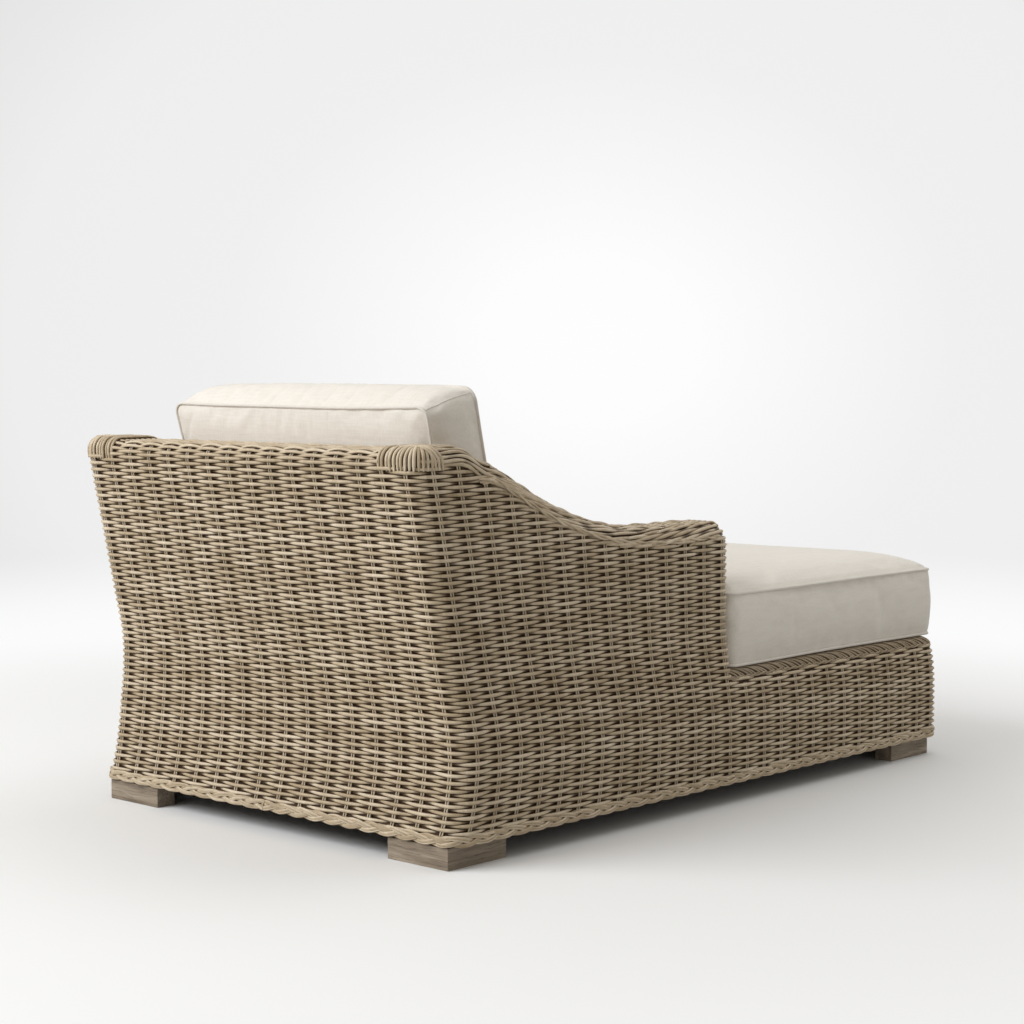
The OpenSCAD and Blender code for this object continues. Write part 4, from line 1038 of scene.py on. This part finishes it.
def rounded(corners, counts, bow=4.0):
    """Outline through corners (x, y, radius), anticlockwise, whose straight sides draw in by bow."""
    n, out = len(corners), []
    pts = np.array([c[:2] for c in corners], float)
    for i, (_, _, r) in enumerate(corners):
        to, on = pts[i] - pts[i - 1], pts[(i + 1) % n] - pts[i]
        to, on = to / np.linalg.norm(to), on / np.linalg.norm(on)
        left = 1.0 if to[0] * on[1] - to[1] * on[0] > 0 else -1.0
        across = left * np.array([-to[1], to[0]])
        g = np.linspace(0, math.pi / 2, 8)[:, None]
        out.append(pts[i] - to * r + across * r + r * (-across * np.cos(g) + to * np.sin(g)))
        a, b = pts[i] + on * r, pts[(i + 1) % n] - on * corners[(i + 1) % n][2]
        t = (np.arange(1, counts[i]) / counts[i])[:, None]
        out.append(a + (b - a) * t - bow * 4 * t * (1 - t) * np.array([on[1], -on[0]]))
    return np.concatenate(out)


def seat_outline(d):
    w, neck = HALF - 8 - d, ARM_IN - 2 - CORD - d
    front, ear, back = FOOT_Y - 3 + d, ARM_FRONT - 2 - CORD - d, float(inner_y(BORDER_H)) - 2 - CORD - d
    r, q = max(6.0, 20 - d), min(14 + d, 44)
    corners = [(-w, front, r), (w, front, r), (w, ear, r), (neck, ear, q), (neck, back, r),
               (-neck, back, r), (-neck, ear, q), (-w, ear, r)]
    return rounded(corners, (70, 56, 8, 50, 50, 50, 8, 56))


def back_outline(d):
    x, r = ARM_IN - 9 - d, max(7.0, 24 - d)
    return rounded([(-x, d, r), (x, d, r), (x, BACK_V - d, r), (-x, BACK_V - d, r)], (60, 34, 60, 34))


def back_point(flat, w):
    """Places in the back cushion: flat holds x and the height in its plane, w goes forward."""
    v = (flat[:, 1] / BACK_V)[:, None]
    w = np.reshape(w, (-1, 1)) / BACK_D
    low, high = REAR_LOW + w * (FRONT_LOW - REAR_LOW), REAR_TOP + w * (FRONT_TOP - REAR_TOP)
    return np.concatenate([flat[:, :1], low + v * (high - low)], 1)


def settle(p, seed):
    """Slow unevenness that a cushion and its piping share."""
    k = np.array([[5.1, 7.3, 4.2], [9.7, -6.1, 8.3], [-13.9, 11.2, 6.6]]) * (1 + 0.05 * seed)
    w = sum(np.sin(p / 1000.0 @ k[i] + seed * (i + 1.3)) / (i + 1.2) for i in range(3))
    return p + 1.3 * w[:, None] * np.array([0.35, 0.35, 0.6])


def swell(obj, pinned, cap):
    """Cloth under pressure, held at the pinned places, that moves no place by more than its cap."""
    start = vertex_values(obj.data, "co")
    pin = obj.vertex_groups.new(name="pin")
    pin.add([int(v) for v in np.nonzero(pinned(start * 1000))[0]], 1.0, "REPLACE")
    cloth = obj.modifiers.new("cloth", "CLOTH")
    st = cloth.settings
    st.quality, st.mass = 5, 0.3
    st.tension_stiffness = st.compression_stiffness = 15
    st.shear_stiffness, st.bending_stiffness = 8, 0.6
    st.vertex_group_mass = "pin"
    st.shrink_min = -0.010
    st.use_pressure, st.uniform_pressure_force = True, 4.0
    st.effector_weights.gravity = 0
    last = 20
    cloth.point_cache.frame_start, cloth.point_cache.frame_end = 1, last
    for f in range(1, last + 1):
        scene.frame_set(f)
    moved = obj.evaluated_get(bpy.context.evaluated_depsgraph_get())
    step = vertex_values(moved.to_mesh(), "co") - start
    moved.to_mesh_clear()
    obj.modifiers.clear()
    scene.frame_set(1)
    size = np.linalg.norm(step, axis=1)[:, None] + 1e-9
    most = (cap(start * 1000) * MM)[:, None]
    obj.data.vertices.foreach_set("co", (start + step / size * most * np.tanh(size / most)).ravel())
    obj.vertex_groups.clear()


def cushion(name, fill_node, rings, voxel, pinned, cap, seams, seed):
    count = len(rings[0])
    co = np.concatenate(rings) * MM
    faces = grid_faces(len(rings), count, True).tolist()
    faces += [range(count)[::-1], range(len(co) - count, len(co))]
    mesh = bpy.data.meshes.new(name)
    mesh.from_pydata(co.tolist(), [], faces)
    obj = place(name, mesh)
    remesh = obj.modifiers.new("remesh", "REMESH")
    remesh.mode, remesh.voxel_size, remesh.use_smooth_shade = "VOXEL", voxel, True
    applied(obj)
    swell(obj, pinned, cap)
    fine = obj.modifiers.new("fine", "SUBSURF")
    fine.levels = fine.render_levels = 1
    applied(obj)
    # the cover is drawn to its seams, which the remesh has rounded off, with small gathers there
    p, normals = vertex_values(obj.data, "co") * 1000, vertex_values(obj.data, "normal")
    near, along, to = np.full(len(p), 1e9), np.zeros(len(p)), p.copy()
    for seam in seams:
        gap, at = nearest(p, seam)
        closer = gap < near
        near[closer], along[closer] = gap[closer], lengths(seam)[at][closer]
        to[closer] = seam[at][closer]
    p = to + (p - to) * (np.clip(near / SEAM_REACH, 0, 1) ** 0.9)[:, None]
    gather = np.sin(along / 9.5 + 2 * np.sin(along / 61.0)) * (0.5 + 0.5 * np.sin(along / 143.0 + seed))
    depth = 0.9 * np.exp(-((near - 13) / 12.0) ** 2) * gather
    obj.data.vertices.foreach_set("co", (settle(p + depth[:, None] * normals, seed) * MM).ravel())
    obj.data.materials.clear()
    obj.data.materials.append(LINEN)
    obj.data.polygons.foreach_set("use_smooth", np.ones(len(obj.data.polygons), bool))
    obj.data.update()
    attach(obj, name)
    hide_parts(name + "_cover", fill_node)
    return obj


def piping(body, seams, out, seed):
    cord = Strands(10)
    for seam in seams:
        path = settle(np.concatenate([seam, seam[:2]]), seed)
        cord.add(path, np.concatenate([out, out[:2]]), 3.3, 3.3, 0.5)
    cord.make(body + "_cord", LINEN_CORD_SHADED, body, body + "_piping", slot="cushion_piping")


def outward(flat):
    t = unit(np.roll(flat, -1, axis=0) - np.roll(flat, 1, axis=0))
    return np.stack([t[:, 1], -t[:, 0]], -1)


def seat_cushion():
    low, high = SEAT_LOW + 4.6, SEAT_HIGH
    steps = [(90, SEAT_LOW), (30, SEAT_LOW + 0.2), (10, SEAT_LOW + 0.8), (3, low - 2), (1.5, low),
             (0, low + 5), (-3.2, low + 20), (-6.4, low + 50), (-7.6, (low + high) / 2), (-6.4, high - 50),
             (-3.2, high - 20), (0, high - 5), (1.5, high), (3.5, high + 4)]
    crown = ((10, 0.27), (22, 0.43), (40, 0.58), (65, 0.71))
    crown += ((100, 0.81), (150, 0.88), (220, 0.91), (300, 0.92))
    steps += [(d, high + k * (SEAT_TOP - high)) for d, k in crown]
    rings = []
    for d, z in steps:
        flat = seat_outline(d)
        if d < 0:
            between = flat[:, 1] > ARM_FRONT
            flat[between] = seat_outline(d * 0.2)[between]
        rings.append(np.column_stack([flat, np.full(len(flat), z)]))
    seam = seat_outline(0.8)
    seams = [np.column_stack([seam, np.full(len(seam), z)]) for z in (low, high)]

    def edge_gap(p):
        return nearest(p[:, :2], seam)[0]

    def pinned(p):
        return (p[:, 2] < low + 4) | (np.abs(p[:, 2] - high - 1) < 4.5) & (edge_gap(p) < 7)

    def cap(p):
        under_back = np.clip((p[:, 1] - 380) / 60, 0, 1)
        wall = np.where(p[:, 1] > ARM_FRONT - 4, 1.2, 3.5)
        top = (2.0 + 8.0 * ease(edge_gap(p) / 120.0)) * (1 - 0.8 * under_back)
        return np.where(p[:, 2] > high + 2, top, wall)

    cushion("seat_cushion", "seat_cushion_foam", rings, 0.0122, pinned, cap, seams, 1)
    piping("seat_cushion", seams, np.column_stack([outward(seam), np.zeros(len(seam))]), 1)


def back_raise(flat):
    """How much of the front's rise a place gets: most of it in the middle of the upper edge."""
    return ease((flat[:, 1] - BACK_V + 26) / 20.0) * (1 - np.abs(flat[:, 0] / ARM_IN) ** 4)


def back_cushion():
    faces = ((160, 0.84), (110, 0.80), (75, 0.72), (48, 0.60), (28, 0.44), (14, 0.27), (4, 0.10))
    steps = [(d, -17 * k) for d, k in faces]
    steps += [(1.5, 0), (0, 5), (-2, 20), (-4, 44), (-4.8, 67), (-4, 90), (-2, 114), (0, 129), (1.5, BACK_D)]
    steps += [(d, BACK_D + 22 * k) for d, k in faces[::-1]]
    rings = []
    for d, w in steps:
        flat = back_outline(d)
        flat[:, 1] += (max(0.0, -d) * 2.6 + 8.0 * ease(w / 110.0)) * back_raise(flat)
        rings.append(back_point(flat, w))
    seam = back_outline(0.8)
    raised = seam.copy()
    raised[:, 1] += 8.0 * back_raise(seam)
    seams = [back_point(seam, 0.0), back_point(raised, BACK_D)]

    def pinned(p):
        return np.minimum(*(nearest(p, line)[0] for line in seams)) < 7.5

    def cap(p):
        rise = (p[:, 2] - REST_Z) / (REAR_TOP_Z - REST_Z)
        w = (REAR_LOW[0] + (REAR_TOP[0] - REAR_LOW[0]) * rise - p[:, 1]) * math.cos(LEAN)
        face = np.where(w < 1, 3.0, np.where(w > BACK_D - 1, 9.0, 5.0))
        return np.where(p[:, 2] < REST_Z + 3, 1.0, face)

    rear = cushion("back_cushion", "back_cushion_fill", rings, 0.0088, pinned, cap, seams, 2)
    side, up = outward(seam), (REAR_TOP - REAR_LOW) / BACK_V
    piping("back_cushion", seams, np.column_stack([side[:, 0], side[:, 1:] * up]), 2)
    # stitched seams of the boxing at the two upper corners, laid on the cover
    mesh = rear.data
    cover = BVHTree.FromPolygons([v.co for v in mesh.vertices], [f.vertices[:] for f in mesh.polygons])
    stitches = Strands()
    w = np.linspace(4, BACK_D - 4, 24)
    bulge = 0.7 * (1 + 3.4 * np.sin(np.pi * w / BACK_D))
    inset = 24 - 24 * math.cos(math.pi / 4)
    for x in (-1, 1):
        flat = np.column_stack([x * (ARM_IN - 9 - inset + bulge), BACK_V - inset + bulge])
        found = [cover.find_nearest(Vector(q)) for q in settle(back_point(flat, w), 2) * MM]
        out = np.array([f[1] for f in found])
        stitches.add(np.array([f[0] for f in found]) * 1000 - 0.3 * out, out, 1.5, 1.6, 0.4)
    stitches.make("back_cushion_seam", LINEN_CORD_SHADED, "back_cushion", slot="cushion_piping")


seat_cushion()
back_cushion()

FOOT_X, FOOT_L, FOOT_T = 500.0, 157.0, 45.0


def foot(name, sx, y, back):
    """A wooden foot: two legs that meet in a mitre, with the grain along each and eased edges."""
    for along in "xy":
        flat = [(0, 0), (FOOT_L, 0), (FOOT_L, FOOT_T), (FOOT_T, FOOT_T)]
        if along == "y":
            flat = [(b, a) for a, b in flat]
        flat = [(sx * (FOOT_X - a) * MM, (y + (-b if back else b)) * MM) for a, b in flat]
        co = [(*at, z) for z in (0, FOOT_H * MM) for at in flat]
        mesh = bpy.data.meshes.new(name + "_" + along)
        faces = [(0, 1, 2, 3), (4, 7, 6, 5)] + [(i, i + 4, (i + 1) % 4 + 4, (i + 1) % 4) for i in range(4)]
        mesh.from_pydata(co, [], faces)
        mesh.materials.append(WOOD[along])
        obj = place(name + "_" + along, mesh)
        bevel = obj.modifiers.new("edge", "BEVEL")
        bevel.width, bevel.segments = 0.0011, 2
        applied(obj)
        bm = bmesh.new()
        bm.from_mesh(obj.data)
        bmesh.ops.recalc_face_normals(bm, faces=bm.faces)
        bm.to_mesh(obj.data)
        bm.free()
        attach(obj, "frame")
        if along == "x":
            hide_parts(name)


for name in ("foot_front_left", "foot_front_right", "foot_back_left", "foot_back_right"):
    low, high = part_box(name)
    back = "back" in name
    foot(name, -1 if "left" in name else 1, (high.y if back else low.y) * 1000, back)

# The CAD's own pieces that still show: straps, screws and the frame's tubes
for name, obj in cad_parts.items():
    if name.startswith("webbing"):
        surface = material("strap_" + name, strap, "YX" if "length" in name else "XY")
    elif name == "foot_screws":
        surface = STEEL
    elif obj.hide_render:
        continue
    else:
        surface = METAL
    obj.data.materials.clear()
    obj.data.materials.append(surface)

# Camera at the photograph's place, fitted to the outlines in it
cam = bpy.data.cameras.new("camera")
cam.lens, cam.sensor_width = 74.98, 36.0
cam_obj = place("camera", cam)
yaw, pitch = math.radians(42.38), math.radians(3.78)
ahead = Vector((math.sin(yaw) * math.cos(pitch), -math.cos(yaw) * math.cos(pitch), -math.sin(pitch)))
right = ahead.cross(Vector((0, 0, 1))).normalized()
cam_obj.matrix_world = Matrix.Translation((-3.1680, 3.5494, 0.9094)) @ Matrix(
    (right, right.cross(ahead), -ahead)).transposed().to_4x4()
scene.camera = cam_obj


# Light, floor and background
def area(name, spot, target, size, power):
    lamp = bpy.data.lights.new(name, "AREA")
    lamp.shape, lamp.size, lamp.size_y = "RECTANGLE", size[0], size[1]
    lamp.energy = power
    obj = place(name, lamp)
    obj.location = spot
    obj.rotation_euler = (Vector(target) - Vector(spot)).to_track_quat("-Z", "Y").to_euler()


area("key", (2.2, 4.7, 3.7), (0, 0.2, 0.4), (4.6, 3.4), 260)
area("top", (-1.0, -2.0, 4.0), (0, -0.6, 0.4), (4.0, 3.6), 52)

WARM_SKY, SKY_POWER = (1.0, 0.955, 0.86, 1), 0.405
GLOW_FROM, GLOW_TO, FADE_TO = 0.95, 3.0, 6.5


def backdrop(n, ray):
    """Soft grey that is brightest behind the chaise, for a direction from the camera's place."""
    gap = n.vector("SUBTRACT", ray, (0.6466, -0.7627, 0.0145))[0]
    gap = n.vector("LENGTH", n.vector("MULTIPLY", gap, (1.0, 1.0, 1.3))[0])["Value"]
    greys = ((0, 0.985), (0.15, 0.98), (0.50, 0.868), (0.78, 0.855), (1, 0.775))
    return n.ramp(n.part_of(gap, 0, 0.34), *((at, (grey, grey, grey, 1)) for at, grey in greys))


world = bpy.data.worlds.new("world")
scene.world = world
sky = Nodes(world)
rays = sky.new("LightPath", {})
reflected = sky.math("ADD", rays["Is Glossy Ray"], rays["Is Transmission Ray"], clamp=True)
seen = sky.math("ADD", rays["Is Camera Ray"], reflected, clamp=True)
power = sky.new("MapRange", {"Value": seen, "To Min": SKY_POWER, "To Max": 1.0})["Result"]
behind = backdrop(sky, sky.new("TexCoord", {})["Generated"])
background = sky.tree.nodes["Background"].inputs
sky.put(background["Strength"], power)
sky.put(background["Color"], sky.mix(seen, WARM_SKY, behind))


def pale_floor(n):
    """The floor takes shadows near the chaise, and further off it glows as the background does."""
    at = n.new("TexCoord", {})["Object"]
    gone = n.vector("LENGTH", at)["Value"]
    far = n.part_of(gone, GLOW_FROM, GLOW_TO, interpolation_type="SMOOTHSTEP")
    away = n.part_of(gone, GLOW_TO, FADE_TO, interpolation_type="SMOOTHSTEP")
    ray = n.vector("NORMALIZE", n.vector("SUBTRACT", at, cam_obj.matrix_world.translation)[0])[0]
    glow = n.new("Emission", {"Color": n.mix(away, (0.965, 0.965, 0.965, 1), backdrop(n, ray))})[0]
    seen = n.new("LightPath", {})["Is Camera Ray"]
    near = n.tree.nodes["Principled BSDF"].outputs[0]
    blend = n.new("MixShader", {0: n.math("MULTIPLY", far, seen), 1: near, 2: glow})[0]
    n.put(n.tree.nodes["Material Output"].inputs["Surface"], blend)
    return {"Base Color": n.mix(seen, (0.60, 0.60, 0.60, 1), (0.945, 0.958, 0.98, 1)),
            "Roughness": 0.7, "Specular IOR Level": 0.2}


floor_mesh = bpy.data.meshes.new("floor")
floor_mesh.from_pydata([(-40, -40, 0), (40, -40, 0), (40, 40, 0), (-40, 40, 0)], [], [(0, 1, 2, 3)])
floor_mesh.materials.append(material("floor", pale_floor))
floor = place("floor", floor_mesh)

scene.view_settings.view_transform = "Standard"
